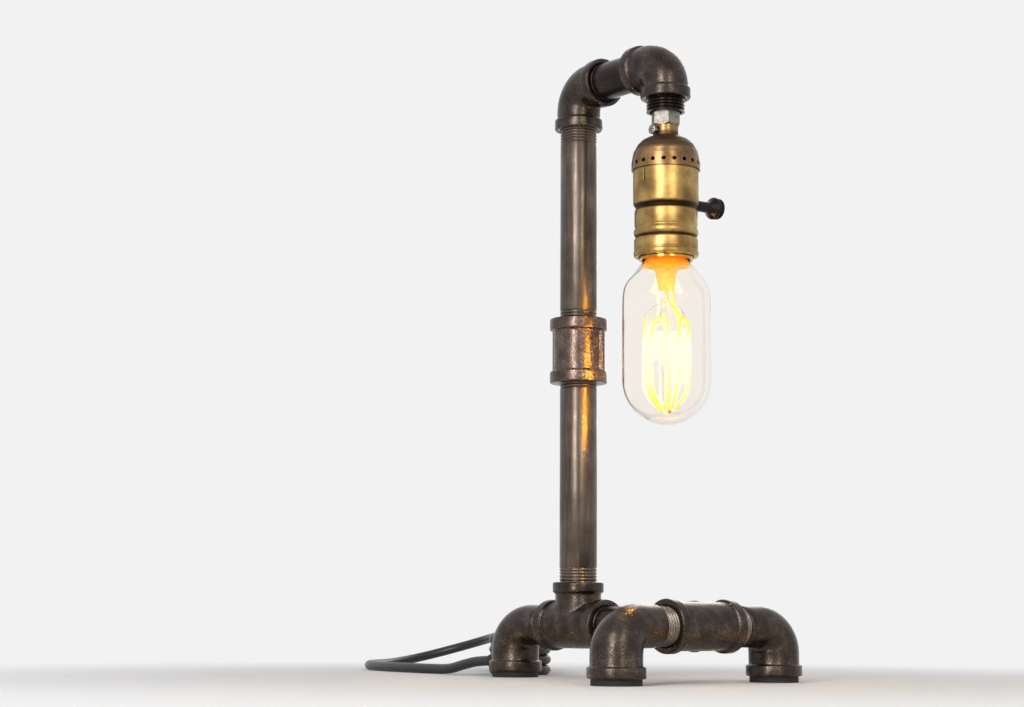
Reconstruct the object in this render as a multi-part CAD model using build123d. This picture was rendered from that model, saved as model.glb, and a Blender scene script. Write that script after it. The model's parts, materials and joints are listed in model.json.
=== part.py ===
"""Industrial pipe table lamp: half-inch iron pipe and fittings on three padded
feet, a brass turn-knob socket hanging from the arm and a tubular lamp bulb.

Millimetres, +Z up. The table is z = 0. The spine of the base and the arm run
towards -Y, the cross bar of the base runs along X, and the origin is midway
between the feet."""
from build123d import *
import math
import os

# ---------------------------------------------------------------- pipe
pipe_radius = 10.65
pipe_bore = 7.9
thread_pitch = 1.814
thread_depth = 1.05
thread_fit = 0.05         # radial clearance of a male thread in its fitting
engagement = 13.0         # how far a pipe screws into a fitting

# ---------------------------------------------------------------- castings
face_reach = 24.2         # centre of a tee or elbow to its face
tee_radius = 13.2
tee_band_radius = 14.5
tee_band = 5.8
elbow_radius = 12.6
elbow_band_radius = 13.95
elbow_band = 6.1
casting_passage = 8.2     # bore between the threads
socket_depth = 14.0       # depth of a female thread
drop_reach = 20.6         # front elbow, centre to its lower face
band_round = 0.9

foot_drop = 26.8          # foot elbow, centre to its lower face
foot_radius = 13.8
foot_band_radius = 15.4
foot_band = 6.0
foot_arm_radius = 10.9
foot_arm_reach = 44.0     # centre to the end of the male thread
foot_thread = 16.2
foot_taper = 7.0
rear_foot_engaged = 13.2
front_foot_engaged = 9.4
pad_radius = 13.4
pad_height = 3.4
pad_spigot = 2.4
pad_fit = 0.05

coupling_length = 37.4
coupling_radius = 14.35
coupling_band_radius = 16.5
coupling_band = 6.8
coupling_stop = 6.0       # length of the unthreaded middle of its bore
rib_radius = 16.0
rib_width = 4.0
rib_angle = -40.0

spine_shows = 46.6        # pipe seen between two fittings
lower_riser_shows = 113.3
upper_riser_shows = 111.0
arm_shows = 28.1
arm_turn = -3.0           # degrees that the arm is swung from straight over the spine
lower_riser_threads = (10.0, 4.0)    # thread seen at the bottom and at the top
upper_riser_threads = (5.4, 9.6)
short_pipe_threads = (2.6, 2.6)

# ---------------------------------------------------------------- socket
bush_shows = 7.5          # thread seen under the front elbow
bush_web = 4.0
bush_recess = 1.8
bush_recess_radius = 9.0
stud_radius = 5.1         # hollow lamp stud
stud_bore = 3.5
stud_engaged = 5.6        # in the socket cap
nut_shows = 7.8           # from the bush to the socket cap
nut_flats = 14.2
washer_thickness = 1.9
washer_radius = 7.6
small_fit = 0.04

neck_radius = 7.0
neck_height = 6.1
cap_height = 25.2         # top of the neck to the rim
cap_radius = 19.0
cap_wall = 0.7
cap_hole_count = 20
cap_hole_radius = 1.15
cap_hole_height = 3.3     # above the rim
set_screw_drop = 3.1
set_screw_radius = 1.5
set_screw_stub = 2.0
set_screw_head = (2.7, 1.9)          # radius, height

shell_radius = 18.07
shell_wall = 0.5
shell_waist = 17.3
shell_overlap = 2.6       # length inside the cap
shell_step = 1.2          # depth of the groove under the plain part
shell_rim_height = 3.2
shell_lip_radius = 15.1
liner_thickness = 0.45
liner_gap = 0.1

knob_drop = 41.9          # top of the neck to the knob's axis
knob_shank = 3.4
knob_start = 18.7         # from the socket's axis
knob_end = 39.5
knob_ring = (6.3, 34.5, 36.4)        # radius, start and end along the axis
knob_disc = 6.0
knob_groove = 5.0
spindle_radius = 2.0
spindle_end = 31.0
rotor_radius = 5.2
rotor_half = 6.0
turn_fit = 0.05

body_gap = 0.65           # moulded socket body inside the liner
body_top = 27.4           # top of the neck to the top of the body
body_floor = 1.35         # under the switch
body_flat = 12.0
terminal_drop = 33.4
terminal_head = (3.0, 1.7)
terminal_shank = (1.5, 4.0)

screw_shell_bore = 13.45
screw_shell_wall = 0.45
mouth_stands = 1.7        # of the screw shell, below the rim of the socket shell
contact_radius = 3.2
contact_height = 1.1

# ---------------------------------------------------------------- bulb
base_radius = 13.15
base_root = 12.5
base_pitch = 3.629
base_wall = 0.35
base_length = 18.8
base_inset = 2.3          # lower edge of the base inside the mouth of the screw shell
insulator_height = 3.1
tip_height = 1.5
tip_radius = 4.6
glass_wall = 0.8
glass_neck = 12.0
glass_radius = 24.2
throat_drop = 7.0         # from the lower edge of the base to the top of the shoulder
glass_throat_radius = 15.0
shoulder_drop = 25.0
glass_length = 92.9       # from the lower edge of the base
stem_radius = 1.6
stem_inset = 1.0
stem_flare = 6.5
filament_drop = 34.9      # from the lower edge of the base
filament_length = 51.5
filament_circle = 8.5
filament_wire = 0.35
filament_strands = 10

# ---------------------------------------------------------------- cord
cord_radius = 3.0
lead_radius = 1.1
gland_radius = 4.6
gland_shows = 7.0
cord_exit_height = 9.0
floor_gap = 0.05
inner_bend = 11.5
riser_bend = 16.0
swivel_split = 27.0       # inner cord: joint below the axis of the arm

hank_heading = 50.08      # degrees from +X
hank_start = 36.0         # from the axis of the rear foot
hank_length = 150.0
hank_offset = 3.0         # across, from the line through the foot
hank_width = 38.2         # where its loops turn
hank_height = 24.6
hank_corner = 3.0
hank_end = 26.0           # length of each full end
hank_slope = 38.0         # from a full end to the tied waist
waist_width = 25.0
waist_height = 12.6
waist_low = 1.6
tie_width = 4.0
tie_thickness = 1.0
tie_gap = 0.3
entry_offset = -13.0      # where the cord comes into the hank, across
plug_offset = 6.1
plug_gap = 40.0           # from the hank to the plug
plug_size = (30.0, 24.0, 15.0)
blade_size = (18.0, 1.5, 6.35)
blade_spacing = 12.7
blade_root = 4.0

# ---------------------------------------------------------------- places
spine = 2 * face_reach + spine_shows
rear_reach = face_reach + foot_arm_reach - rear_foot_engaged
front_reach = face_reach + foot_arm_reach - front_foot_engaged
arm = 2 * face_reach + arm_shows
riser_y = (spine - rear_reach) / 2
base_z = pad_height + foot_drop
coupling_z = base_z + face_reach + lower_riser_shows
arm_z = coupling_z + coupling_length + upper_riser_shows + face_reach
socket_y = riser_y - arm
bush_z = arm_z - drop_reach - bush_shows
socket_z = bush_z - nut_shows
rear_y = riser_y + rear_reach
foot_back = rear_y + foot_band_radius
cross_y = riser_y - spine
gland_y = foot_back + gland_shows
liner_radius = shell_waist - 0.4 - shell_wall - liner_gap
body_radius = liner_radius - liner_thickness - body_gap
body_bottom = knob_drop + rotor_radius + turn_fit + body_floor
tip_top = body_bottom + contact_height
insulator_top = tip_top + tip_height
base_high = insulator_top + insulator_height
base_low = base_high + base_length
screw_shell_mouth = base_low + base_inset
shell_bottom = screw_shell_mouth - mouth_stands
glass_throat = base_low + throat_drop
glass_shoulder = base_low + shoulder_drop
glass_bottom = base_low + glass_length
stem_top = base_low - stem_inset
filament_top = base_low + filament_drop
filament_bottom = filament_top + filament_length


# ---------------------------------------------------------------- tools
def turned(*outline):
    """Body of revolution about Z from its (radius, height) outline."""
    return revolve(make_face(Plane.XZ * Polyline(*outline, close=True)), Axis.Z)


def rod(radius, low, high):
    """Cylinder along Z between two heights."""
    return Pos(0, 0, (low + high) / 2) * Cylinder(radius, high - low)


def along_x(part):
    """Lay a part made along +Z down along +X."""
    return Rot(0, 90, 0) * part


def along_y(part):
    """Lay a part made along +Z down along +Y."""
    return Rot(-90, 0, 0) * part


def on_socket(part):
    """Hang a part, made downwards from the top of the socket's neck."""
    return Pos(0, socket_y, socket_z) * part


def tube_path(points, radii):
    """Straight runs joined by tangent arcs, one radius for each corner."""
    return FilletPolyline(*points, radius=radii)


def cord_tube(path, radius):
    """Round cord swept along a path."""
    section = Plane(origin=path @ 0, z_dir=path % 0) * Circle(radius)
    return sweep(section, path=path)


# ---------------------------------------------------------------- pipe and castings
def threaded_pipe(length, low_thread, high_thread, bore=pipe_bore):
    """Pipe along Z from zero, with ring-shaped threads cut at both ends."""
    blank = rod(pipe_radius, 0, length) - rod(bore, -1, length + 1)
    root = pipe_radius - thread_depth
    groove = turned(
        (root, -0.1), (root, 0.1),
        (pipe_radius + 0.1, thread_pitch * 0.46), (pipe_radius + 0.1, -thread_pitch * 0.46))
    low = [thread_pitch * (i + 0.5) for i in range(int(low_thread / thread_pitch))]
    high = [length - thread_pitch * (i + 0.5) for i in range(int(high_thread / thread_pitch))]
    return blank - [Pos(0, 0, z) * groove for z in low + high]


def banded_arm(reach, radius, band_radius, band):
    """Solid arm of a casting along +Z from its centre, with a rounded band at the mouth."""
    edge = band_radius - band_round
    return turned(
        (0, 0), (radius, 0), (radius, reach - band - band_round),
        (edge, reach - band), (band_radius, reach - band + band_round),
        (band_radius, reach - band_round), (edge, reach), (0, reach))


def threaded_mouth(reach, start=0):
    """What a female thread and the passage behind it take out of an arm along +Z."""
    thread = rod(pipe_radius + thread_fit, reach - socket_depth, reach + 1)
    return thread + rod(casting_passage, start, reach)


def bend(radius, turn_radius):
    """Quarter ring from the arm along -Z round to the arm along +X."""
    start = Pos(0, 0, -turn_radius) * Circle(radius)
    return revolve(start, Axis((turn_radius, 0, -turn_radius), (0, 1, 0)), 90)


def elbow(low_reach):
    """Banded elbow with one mouth along -Z and one along +X."""
    turn_radius = elbow_radius + 1.0
    low = Rot(180, 0, 0) * banded_arm(low_reach, elbow_radius, elbow_band_radius, elbow_band)
    side = along_x(banded_arm(face_reach, elbow_radius, elbow_band_radius, elbow_band))
    corner = Box(4 * turn_radius, 4 * turn_radius, 4 * turn_radius)
    low -= Pos(0, 0, turn_radius) * corner
    side -= Pos(-turn_radius, 0, 0) * corner
    body = low + side + bend(elbow_radius, turn_radius)
    body -= Rot(180, 0, 0) * threaded_mouth(low_reach, turn_radius)
    body -= along_x(threaded_mouth(face_reach, turn_radius))
    return body - bend(casting_passage, turn_radius)


def tee():
    """Banded tee with its run along X and its branch along +Z."""
    limb = banded_arm(face_reach, tee_radius, tee_band_radius, tee_band)
    mouth = threaded_mouth(face_reach)
    body = limb + along_x(limb) + Rot(0, 0, 180) * along_x(limb)
    return body - mouth - along_x(mouth) - Rot(0, 0, 180) * along_x(mouth)


def foot_elbow():
    """Street elbow: female mouth along -Z, slim male thread along +X."""
    turn_radius = foot_radius + 1.0
    reach = foot_arm_reach
    down = Rot(180, 0, 0) * banded_arm(foot_drop, foot_radius, foot_band_radius, foot_band)
    corner = Box(4 * turn_radius, 4 * turn_radius, 4 * turn_radius)
    down -= Pos(0, 0, turn_radius) * corner
    neck = turned(
        (0, turn_radius), (foot_radius, turn_radius),
        (foot_arm_radius, turn_radius + foot_taper),
        (foot_arm_radius, reach - foot_thread), (pipe_radius, reach - foot_thread),
        (pipe_radius, reach), (0, reach))
    root = pipe_radius - thread_depth
    groove = turned(
        (root, -0.1), (root, 0.1),
        (pipe_radius + 0.1, thread_pitch * 0.46), (pipe_radius + 0.1, -thread_pitch * 0.46))
    count = int(foot_thread / thread_pitch)
    neck -= [Pos(0, 0, reach - thread_pitch * (i + 0.5)) * groove for i in range(count)]
    body = down + bend(foot_radius, turn_radius) + along_x(neck)
    body -= Rot(180, 0, 0) * threaded_mouth(foot_drop, turn_radius)
    body -= along_x(rod(pipe_bore, turn_radius, reach + 1))
    return body - bend(casting_passage, turn_radius)


def rear_foot():
    """Foot elbow with the hole for the cord gland in its back."""
    hole = along_y(rod(gland_radius + small_fit, foot_radius - 6, foot_band_radius + 1))
    drilled = Rot(0, 0, -90) * foot_elbow() - Pos(0, 0, cord_exit_height - base_z) * hole
    return Pos(0, rear_y, base_z) * drilled


def foot_pad():
    """Rubber pad, pushed into the mouth of a foot."""
    spigot = pipe_radius - pad_fit
    return turned(
        (0, 0), (pad_radius, 0), (pad_radius, pad_height), (spigot, pad_height),
        (spigot, pad_height + pad_spigot), (0, pad_height + pad_spigot))


def coupling():
    """Banded coupling along Z from zero, with two ribs along its sides."""
    top = coupling_length
    edge = coupling_band_radius - band_round
    half = [
        (coupling_radius, coupling_band + band_round), (edge, coupling_band),
        (coupling_band_radius, coupling_band - band_round),
        (coupling_band_radius, band_round), (edge, 0), (0, 0)]
    other = [(r, top - z) for r, z in reversed(half)]
    body = turned(*half, *other)
    rib = Box(2 * rib_radius, rib_width, top - 2 * coupling_band)
    body += Rot(0, 0, rib_angle) * Pos(0, 0, top / 2) * rib
    thread = (top - coupling_stop) / 2
    body -= rod(pipe_radius + thread_fit, -1, thread)
    body -= rod(pipe_radius + thread_fit, top - thread, top + 1)
    return body - rod(casting_passage + 1, 0, top)


# ---------------------------------------------------------------- socket
def reducing_bush():
    """Threaded bush from its lower face up, with a web for the lamp stud."""
    length = bush_shows + engagement
    body = threaded_pipe(length, length, 0)
    web = rod(pipe_bore + 0.5, bush_recess, bush_recess + bush_web)
    body = body + web - rod(bush_recess_radius, -1, bush_recess)
    return body - rod(stud_radius + small_fit, -1, bush_recess + bush_web + 1)


def lamp_stud():
    """Hollow threaded stud from the bush down into the socket cap."""
    top = bush_z + bush_recess + bush_web + 1.5 - socket_z
    return on_socket(rod(stud_radius, -stud_engaged, top) - rod(stud_bore, -10, top + 1))


def lock_nut():
    """Hexagon nut on the stud, down against the socket cap."""
    height = nut_shows + bush_recess - washer_thickness
    blank = extrude(RegularPolygon(nut_flats / 2, 6, major_radius=False), height)
    round_off = turned(
        (0, 0), (nut_flats / 2, 0), (nut_flats / 2 + 1.2, 0.8),
        (nut_flats / 2 + 1.2, height - 0.8), (nut_flats / 2, height), (0, height))
    return on_socket((blank & round_off) - rod(stud_radius + small_fit, -1, height + 1))


def spring_washer():
    """Split washer between the nut and the bush."""
    top = nut_shows + bush_recess
    ring = rod(washer_radius, top - washer_thickness, top) - rod(stud_radius + small_fit, 0, top + 1)
    split = Pos(washer_radius, 0, top) * Box(washer_radius, 1.2, 3 * washer_thickness)
    return on_socket(ring - split)


def cap_outline(inset):
    """Dome and band of the socket cap, drawn in by the wall where asked."""
    neck = neck_radius - inset
    wide = cap_radius - inset
    top = -neck_height - inset
    low = -cap_height
    return [
        (neck, top + 0.4), (neck + 0.6, top), (wide - 8.4, top - 0.9),
        (wide - 5.8 + inset * 0.1, top - 2.4 + inset * 0.2),
        (wide - 3.4, top - 4.9 + inset * 0.4), (wide - 2.0, top - 7.5 + inset * 0.7),
        (wide - 1.6, low + 10.6), (wide - 1.2, low + 10.3), (wide - 0.5, low + 7.2),
        (wide, low + 3.7), (wide, low)]


def socket_cap():
    """Brass cap: threaded neck, dome, and a band with a ring of vent holes."""
    outer = [(0, 0), (neck_radius, 0), *cap_outline(0), (0, -cap_height)]
    inner = [(0, -neck_height - cap_wall), *cap_outline(cap_wall)[1:], (0, -cap_height)]
    bore = stud_radius + small_fit
    cap = turned(*outer) - turned(*inner) - rod(bore, -neck_height - 2, 1)
    hole = along_x(rod(cap_hole_radius, cap_radius - 3, cap_radius + 2))
    hole = Pos(0, 0, -cap_height + cap_hole_height) * hole
    step = 360 / cap_hole_count
    cap -= [Rot(0, 0, step * (i + 0.5)) * hole for i in range(cap_hole_count)]
    side = Rot(0, 0, 180) * along_x(rod(set_screw_radius + small_fit, 0, neck_radius + 1))
    return on_socket(cap - Pos(0, 0, -set_screw_drop) * side)


def set_screw():
    """Slotted screw through the side of the neck, against the stud."""
    head_radius, head_height = set_screw_head
    start = neck_radius + set_screw_stub
    top = start + head_height
    screw = turned(
        (0, stud_radius + small_fit), (set_screw_radius, stud_radius + small_fit),
        (set_screw_radius, start), (head_radius, start), (head_radius, top - 0.7),
        (head_radius * 0.6, top), (0, top))
    screw -= Pos(0, 0, top) * Box(0.7, 3 * head_radius, 1.2)
    return on_socket(Pos(0, 0, -set_screw_drop) * Rot(0, 0, 180) * along_x(screw))


def shell_outline(inset):
    """Side of the socket shell, from the top down."""
    top = -cap_height + shell_overlap
    wide = shell_radius - inset
    waist = shell_waist - inset
    step = -knob_drop - 3.1
    rim = -shell_bottom
    return [
        (wide, top), (wide, step), (wide - shell_step, step - 0.7),
        (wide - shell_step, step - 2.0), (waist, step - 3.5), (waist, rim + 17.2),
        (waist - 0.4, rim + 16.6), (waist + 0.5, rim + 15.3), (waist + 0.6, rim + 13.6),
        (waist + 0.1, rim + 11.8), (waist - 0.4, rim + 10.5), (waist + 0.3, rim + 9.6),
        (waist + 0.3, rim + shell_rim_height + 0.8)]


def socket_shell():
    """Brass shell with pressed rings, a rolled rim and a hole for the spindle."""
    rim = -shell_bottom
    outer = [
        (0, -cap_height + shell_overlap), *shell_outline(0),
        (shell_waist + 0.5, rim + shell_rim_height), (shell_waist + 0.5, rim + 0.8),
        (shell_waist - 0.3, rim), (0, rim)]
    inner = [
        (0, -cap_height + shell_overlap), *shell_outline(shell_wall),
        (shell_waist - shell_wall, rim + 1.4), (shell_lip_radius, rim + 0.9),
        (shell_lip_radius, rim), (0, rim)]
    shell = turned(*outer) - turned(*inner)
    hole = along_x(rod(spindle_radius + 0.6, 0, shell_radius + 1))
    return on_socket(shell - Pos(0, 0, -knob_drop) * hole)


def shell_liner():
    """Insulating tube inside the shell."""
    tube = rod(liner_radius, -shell_bottom + shell_rim_height + 0.4, -cap_height + 1.0)
    tube -= rod(liner_radius - liner_thickness, -shell_bottom, 0)
    hole = along_x(rod(spindle_radius + 0.6, 0, shell_radius + 1))
    return on_socket(tube - Pos(0, 0, -knob_drop) * hole)


def socket_body():
    """Moulded body around the switch, still in one piece, with flats for the terminals."""
    body = rod(body_radius, -body_bottom, -body_top)
    flat = Box(2 * body_radius, body_radius, 12)
    for side in (1, -1):
        body -= Pos(0, side * (body_flat + body_radius / 2), -body_top - 6) * flat
        hole = rod(terminal_shank[0] + small_fit, body_flat - terminal_shank[1], body_radius)
        body -= Pos(0, 0, -terminal_drop) * (Rot(0, 0, 90 - 90 * side) * along_y(hole))
    rotor = along_x(rod(rotor_radius + turn_fit, -rotor_half - turn_fit, rotor_half + turn_fit))
    spindle = along_x(rod(spindle_radius + turn_fit, 0, body_radius + 1))
    return body - Pos(0, 0, -knob_drop) * (rotor + spindle)


def lower_body():
    """Half of the moulded body below the axis of the switch."""
    return on_socket(split(socket_body(), Plane((0, 0, -knob_drop)), keep=Keep.BOTTOM))


def upper_body():
    """Half of the moulded body above the axis of the switch."""
    return on_socket(split(socket_body(), Plane((0, 0, -knob_drop)), keep=Keep.TOP))


def terminal_screws():
    """Two binding screws, one on each flat of the moulded body."""
    head_radius, head_height = terminal_head
    shank_radius, shank = terminal_shank
    screw = rod(shank_radius, body_flat - shank, body_flat)
    screw += rod(head_radius, body_flat, body_flat + head_height)
    screw -= Pos(0, 0, body_flat + head_height) * Box(0.8, 3 * head_radius, 1.2)
    screws = [Rot(0, 0, turn) * along_y(screw) for turn in (0, 180)]
    return Compound([on_socket(Pos(0, 0, -terminal_drop) * one) for one in screws])


def switch_rotor():
    """Switch drum and spindle in one, along +X."""
    drum = rod(rotor_radius, -rotor_half, rotor_half) + rod(spindle_radius, 0, spindle_end)
    return on_socket(Pos(0, 0, -knob_drop) * along_x(drum))


def switch_knob():
    """Turned knob on the spindle: shank, ring, groove and a domed end."""
    ring_radius, ring_start, ring_end = knob_ring
    knob = turned(
        (0, knob_start), (knob_shank, knob_start), (knob_shank, ring_start - 0.8),
        (ring_radius - 0.5, ring_start), (ring_radius, ring_start + 0.6),
        (ring_radius, ring_end - 0.5), (ring_radius - 0.5, ring_end),
        (knob_groove, ring_end + 0.3), (knob_disc, ring_end + 1.0),
        (knob_disc - 0.3, knob_end - 1.0), (knob_disc - 2.0, knob_end - 0.2), (0, knob_end))
    knob -= rod(spindle_radius + small_fit, knob_start - 1, spindle_end + 0.1)
    return on_socket(Pos(0, 0, -knob_drop) * along_x(knob))


def screw_shell():
    """Threaded metal shell that takes the bulb, with a collar on the shell's rim."""
    outer = screw_shell_bore + screw_shell_wall
    collar = liner_radius - liner_thickness - 0.3
    seat = -shell_bottom + 1.45
    body = turned(
        (screw_shell_bore, -screw_shell_mouth), (shell_lip_radius - 0.2, -screw_shell_mouth),
        (shell_lip_radius - 0.2, seat), (collar, seat), (collar, seat + 0.6),
        (outer, seat + 1.2), (outer, -body_bottom), (contact_radius + 2.0, -body_bottom),
        (contact_radius + 2.0, -body_bottom - screw_shell_wall),
        (screw_shell_bore, -body_bottom - screw_shell_wall))
    return on_socket(body)


def centre_contact():
    """Sprung centre contact under the moulded body."""
    return on_socket(turned(
        (0, -body_bottom), (contact_radius, -body_bottom),
        (contact_radius, -body_bottom - 0.5), (contact_radius - 1.0, -tip_top), (0, -tip_top)))


# ---------------------------------------------------------------- bulb
def bulb_screw_base():
    """Thin metal base with ring-shaped crests, folded in under the insulator."""
    crests = int((base_low - base_high - 2.0) / base_pitch)
    side = [(base_root, -base_low)]
    for i in range(crests):
        low = -base_low + 1.6 + i * base_pitch
        side += [(base_root, low), (base_radius, low + 1.2),
                 (base_radius, low + 2.2), (base_root, low + 3.2)]
    side += [(base_root, -base_high), (tip_radius + 3.4, -base_high + 1.6)]
    inner = [(tip_radius + 3.4 - base_wall, -base_high + 1.0),
             (base_root - base_wall, -base_high - 0.3), (base_root - base_wall, -base_low)]
    return on_socket(turned(*side, *inner))


def bulb_base_insulator():
    """Glass insulator between the base and its tip."""
    edge = tip_radius + 3.4
    return on_socket(turned(
        (0, -base_high + 1.6), (edge, -base_high + 1.6), (edge - 0.6, -insulator_top - 0.4),
        (tip_radius, -insulator_top), (0, -insulator_top)))


def bulb_tip_contact():
    """Soldered tip of the bulb's base."""
    return on_socket(turned(
        (0, -insulator_top), (tip_radius, -insulator_top),
        (tip_radius - 0.8, -tip_top - 0.4), (tip_radius - 1.8, -tip_top), (0, -tip_top)))


def glass_line(inset):
    """Half section of the glass, from its neck to its rounded end."""
    radius = glass_radius - inset
    neck = glass_neck - inset
    throat = glass_throat_radius - inset
    end = glass_bottom - inset
    ball = end - radius
    side = Spline(
        [(neck, -base_low - 0.6), (throat, -glass_throat), (radius, -glass_shoulder)],
        tangents=[(0, -1), (0, -1)], tangent_scalars=[0.5, 0.7])
    top = Line((neck, -base_low + 6.0), (neck, -base_low - 0.6))
    straight = Line((radius, -glass_shoulder), (radius, -ball))
    bowl = CenterArc((0, -ball), radius, 0, -90)
    close = Polyline((0, -end), (0, -base_low + 6.0), (neck, -base_low + 6.0))
    lines = [top, side, straight, bowl, *close.edges()]
    return make_face([Plane.XZ * line for line in lines])


def bulb_glass():
    """Clear glass envelope: neck, shoulder, tubular side and rounded end."""
    outer = revolve(glass_line(0), Axis.Z)
    inner = revolve(glass_line(glass_wall), Axis.Z)
    mouth = rod(glass_neck - glass_wall, -base_low + 5.0, -base_low + 7.0)
    return on_socket(outer - inner - mouth)


def bulb_stem():
    """Glass stem: flare in the neck, press and the long centre rod."""
    return on_socket(turned(
        (0, -stem_top), (glass_neck - glass_wall - 0.1, -stem_top),
        (glass_neck - glass_wall - 0.1, -stem_top - 1.0), (stem_flare, -stem_top - 6.0),
        (stem_flare - 2.0, -stem_top - 14.0), (stem_radius, -stem_top - 18.0),
        (stem_radius, -filament_bottom - 1.0), (0, -filament_bottom - 1.0)))


def filament_ring(height, radius, turn):
    """Hook points of the filament round the stem at one height."""
    step = 2 * math.pi / filament_strands
    return [(radius * math.cos(step * (i + turn)), radius * math.sin(step * (i + turn)), -height)
            for i in range(filament_strands)]


def filament():
    """Squirrel-cage filament: a wire that runs down and up round the stem."""
    low = filament_ring(filament_bottom - 1.0, filament_circle * 0.8, 0.0)
    high = filament_ring(filament_top, filament_circle, 0.5)
    hooks = [point for pair in zip(low, high) for point in pair]
    wire = [Edge.make_line(a, b) for a, b in zip(hooks, hooks[1:])]
    rods = [cord_tube(Wire([edge]), filament_wire) for edge in wire]
    joints = [Pos(*point) * Sphere(filament_wire * 1.15) for point in hooks]
    return on_socket(Part() + rods + joints)


def filament_supports():
    """Wire arms that hold the filament's hooks to the stem, at the top and the bottom."""
    gap = filament_wire * 1.15 + 0.05
    arms = []
    rings = ((filament_bottom - 1.0, filament_circle * 0.8, 0.0), (filament_top, filament_circle, 0.5))
    for height, radius, turn in rings:
        for i in range(filament_strands):
            arm_rod = along_x(rod(0.22, stem_radius + 0.02, radius - gap))
            spot = Rot(0, 0, 360 / filament_strands * (i + turn)) * arm_rod
            arms.append(on_socket(Pos(0, 0, -height) * spot))
    return Compound(arms)


# ---------------------------------------------------------------- cord
def cord_gland():
    """Bush through the back of the rear foot."""
    inner = rear_y + pipe_radius + thread_fit
    bush = rod(gland_radius, inner, gland_y) - rod(cord_radius + small_fit, inner - 1, gland_y + 1)
    return Pos(0, 0, cord_exit_height) * along_y(bush)


def riser_cord():
    """Cord from the gland through the rear foot and up inside the riser."""
    points = [
        (0, foot_back, cord_exit_height), (0, rear_y + 0.8, cord_exit_height),
        (0, rear_y - 3.0, base_z), (0, riser_y, base_z),
        (0, riser_y, arm_z - swivel_split)]
    return cord_tube(tube_path(points, [inner_bend, inner_bend, riser_bend]), cord_radius)


def arm_cord():
    """Cord from the swivel through the arm and down to the socket."""
    points = [
        (0, riser_y, arm_z - swivel_split), (0, riser_y, arm_z), (0, socket_y, arm_z),
        (0, socket_y, socket_z - neck_height - cap_wall)]
    return cord_tube(tube_path(points, [riser_bend, riser_bend]), cord_radius)


def lead(side):
    """Insulated lead from the end of the cord to one terminal screw."""
    top = -neck_height - cap_wall
    out = body_flat + 1.4
    end = -terminal_drop + terminal_head[0] + small_fit
    points = [
        (0, side * 1.5, top), (0, side * 1.5, top - 6.5),
        (0, side * out, top - 14.0), (0, side * out, end)]
    return on_socket(cord_tube(tube_path(points, [3.0, 3.0]), lead_radius))


def live_lead():
    """Lead to the terminal on the -Y side."""
    return lead(-1)


def neutral_lead():
    """Lead to the terminal on the +Y side."""
    return lead(1)


def on_hank(along, across, height):
    """Point measured along the hank from the rear foot, across it and up."""
    angle = math.radians(hank_heading)
    x = along * math.cos(angle) + across * math.sin(angle)
    y = along * math.sin(angle) - across * math.cos(angle)
    return (x, rear_y + y, height)


cord_floor = cord_radius + floor_gap
hank_far = hank_start + hank_length
entry_height = floor_gap + hank_height - cord_radius - 0.3
cord_route = [
    (0, foot_back, cord_exit_height),
    (0, 107, cord_exit_height),
    (0, 123.5, 6.2),
    (0.3, 137, cord_floor),
    (1.2, 159, cord_floor),
    (3.2, 183, cord_floor),
    (7.5, 212, cord_floor),
    (17.8, 245.5, cord_floor),
    (43.5, 276, cord_floor),
    on_hank(hank_far + 29.0, entry_offset - 71.0, cord_floor),
    on_hank(hank_far + 49.5, entry_offset - 50.5, 7.0),
    on_hank(hank_far + 49.5, entry_offset - 20.5, 15.0),
    on_hank(hank_far + 29.0, entry_offset, entry_height),
    on_hank(hank_far, entry_offset, entry_height)]


def route_radii(points):
    """Largest arc that the two runs beside each corner allow."""
    radii = []
    for before, corner, after in zip(points, points[1:], points[2:]):
        first = Vector(*corner) - Vector(*before)
        second = Vector(*after) - Vector(*corner)
        half_turn = math.radians(first.get_angle(second) / 2)
        radii.append(0.45 * min(first.length, second.length) / math.tan(half_turn))
    return radii


def cord_run():
    """Free cord from the gland over the table to the hank."""
    return cord_tube(tube_path(cord_route, route_radii(cord_route)), cord_radius)


def across_hank(width, height, middle, along):
    """Rounded section across the hank, at a distance behind the rear foot."""
    angle = math.radians(hank_heading)
    heading = (math.cos(angle), math.sin(angle), 0)
    across = (math.sin(angle), -math.cos(angle), 0)
    spot = on_hank(along, hank_offset, middle)
    plane = Plane(origin=spot, x_dir=across, z_dir=heading)
    return plane * RectangleRounded(width, height, hank_corner)


def end_section(along):
    """Section of the hank where its loops turn."""
    return across_hank(hank_width, hank_height, floor_gap + hank_height / 2, along)


def waist_section(along, grow=0):
    """Section of the hank where it is tied."""
    middle = waist_low + waist_height / 2
    return across_hank(waist_width + 2 * grow, waist_height + 2 * grow, middle, along)


def cord_hank():
    """Outer shape of the rest of the cord, folded into loops and tied at its waist."""
    near, far = hank_start, hank_far
    waist = near + hank_end + hank_slope, far - hank_end - hank_slope
    hank = extrude(end_section(near), hank_end)
    hank += loft([end_section(near + hank_end), waist_section(waist[0])])
    hank += extrude(waist_section(waist[0]), waist[1] - waist[0])
    hank += loft([waist_section(waist[1]), end_section(far - hank_end)])
    return hank + extrude(end_section(far - hank_end), hank_end)


def hank_tie():
    """Band tied round the waist of the hank."""
    start = hank_start + (hank_length - tie_width) / 2
    band = waist_section(start, tie_gap + tie_thickness) - waist_section(start, tie_gap)
    return extrude(band, tie_width)


plug_height = plug_size[2] / 2 + floor_gap
plug_route = [
    on_hank(hank_far, plug_offset, cord_floor),
    on_hank(hank_far + 0.325 * plug_gap, plug_offset, cord_floor),
    on_hank(hank_far + 0.675 * plug_gap, plug_offset, plug_height),
    on_hank(hank_far + plug_gap, plug_offset, plug_height)]


def plug_lead():
    """Last of the cord, from the hank up to the plug."""
    return cord_tube(tube_path(plug_route, route_radii(plug_route)), cord_radius)


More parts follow.
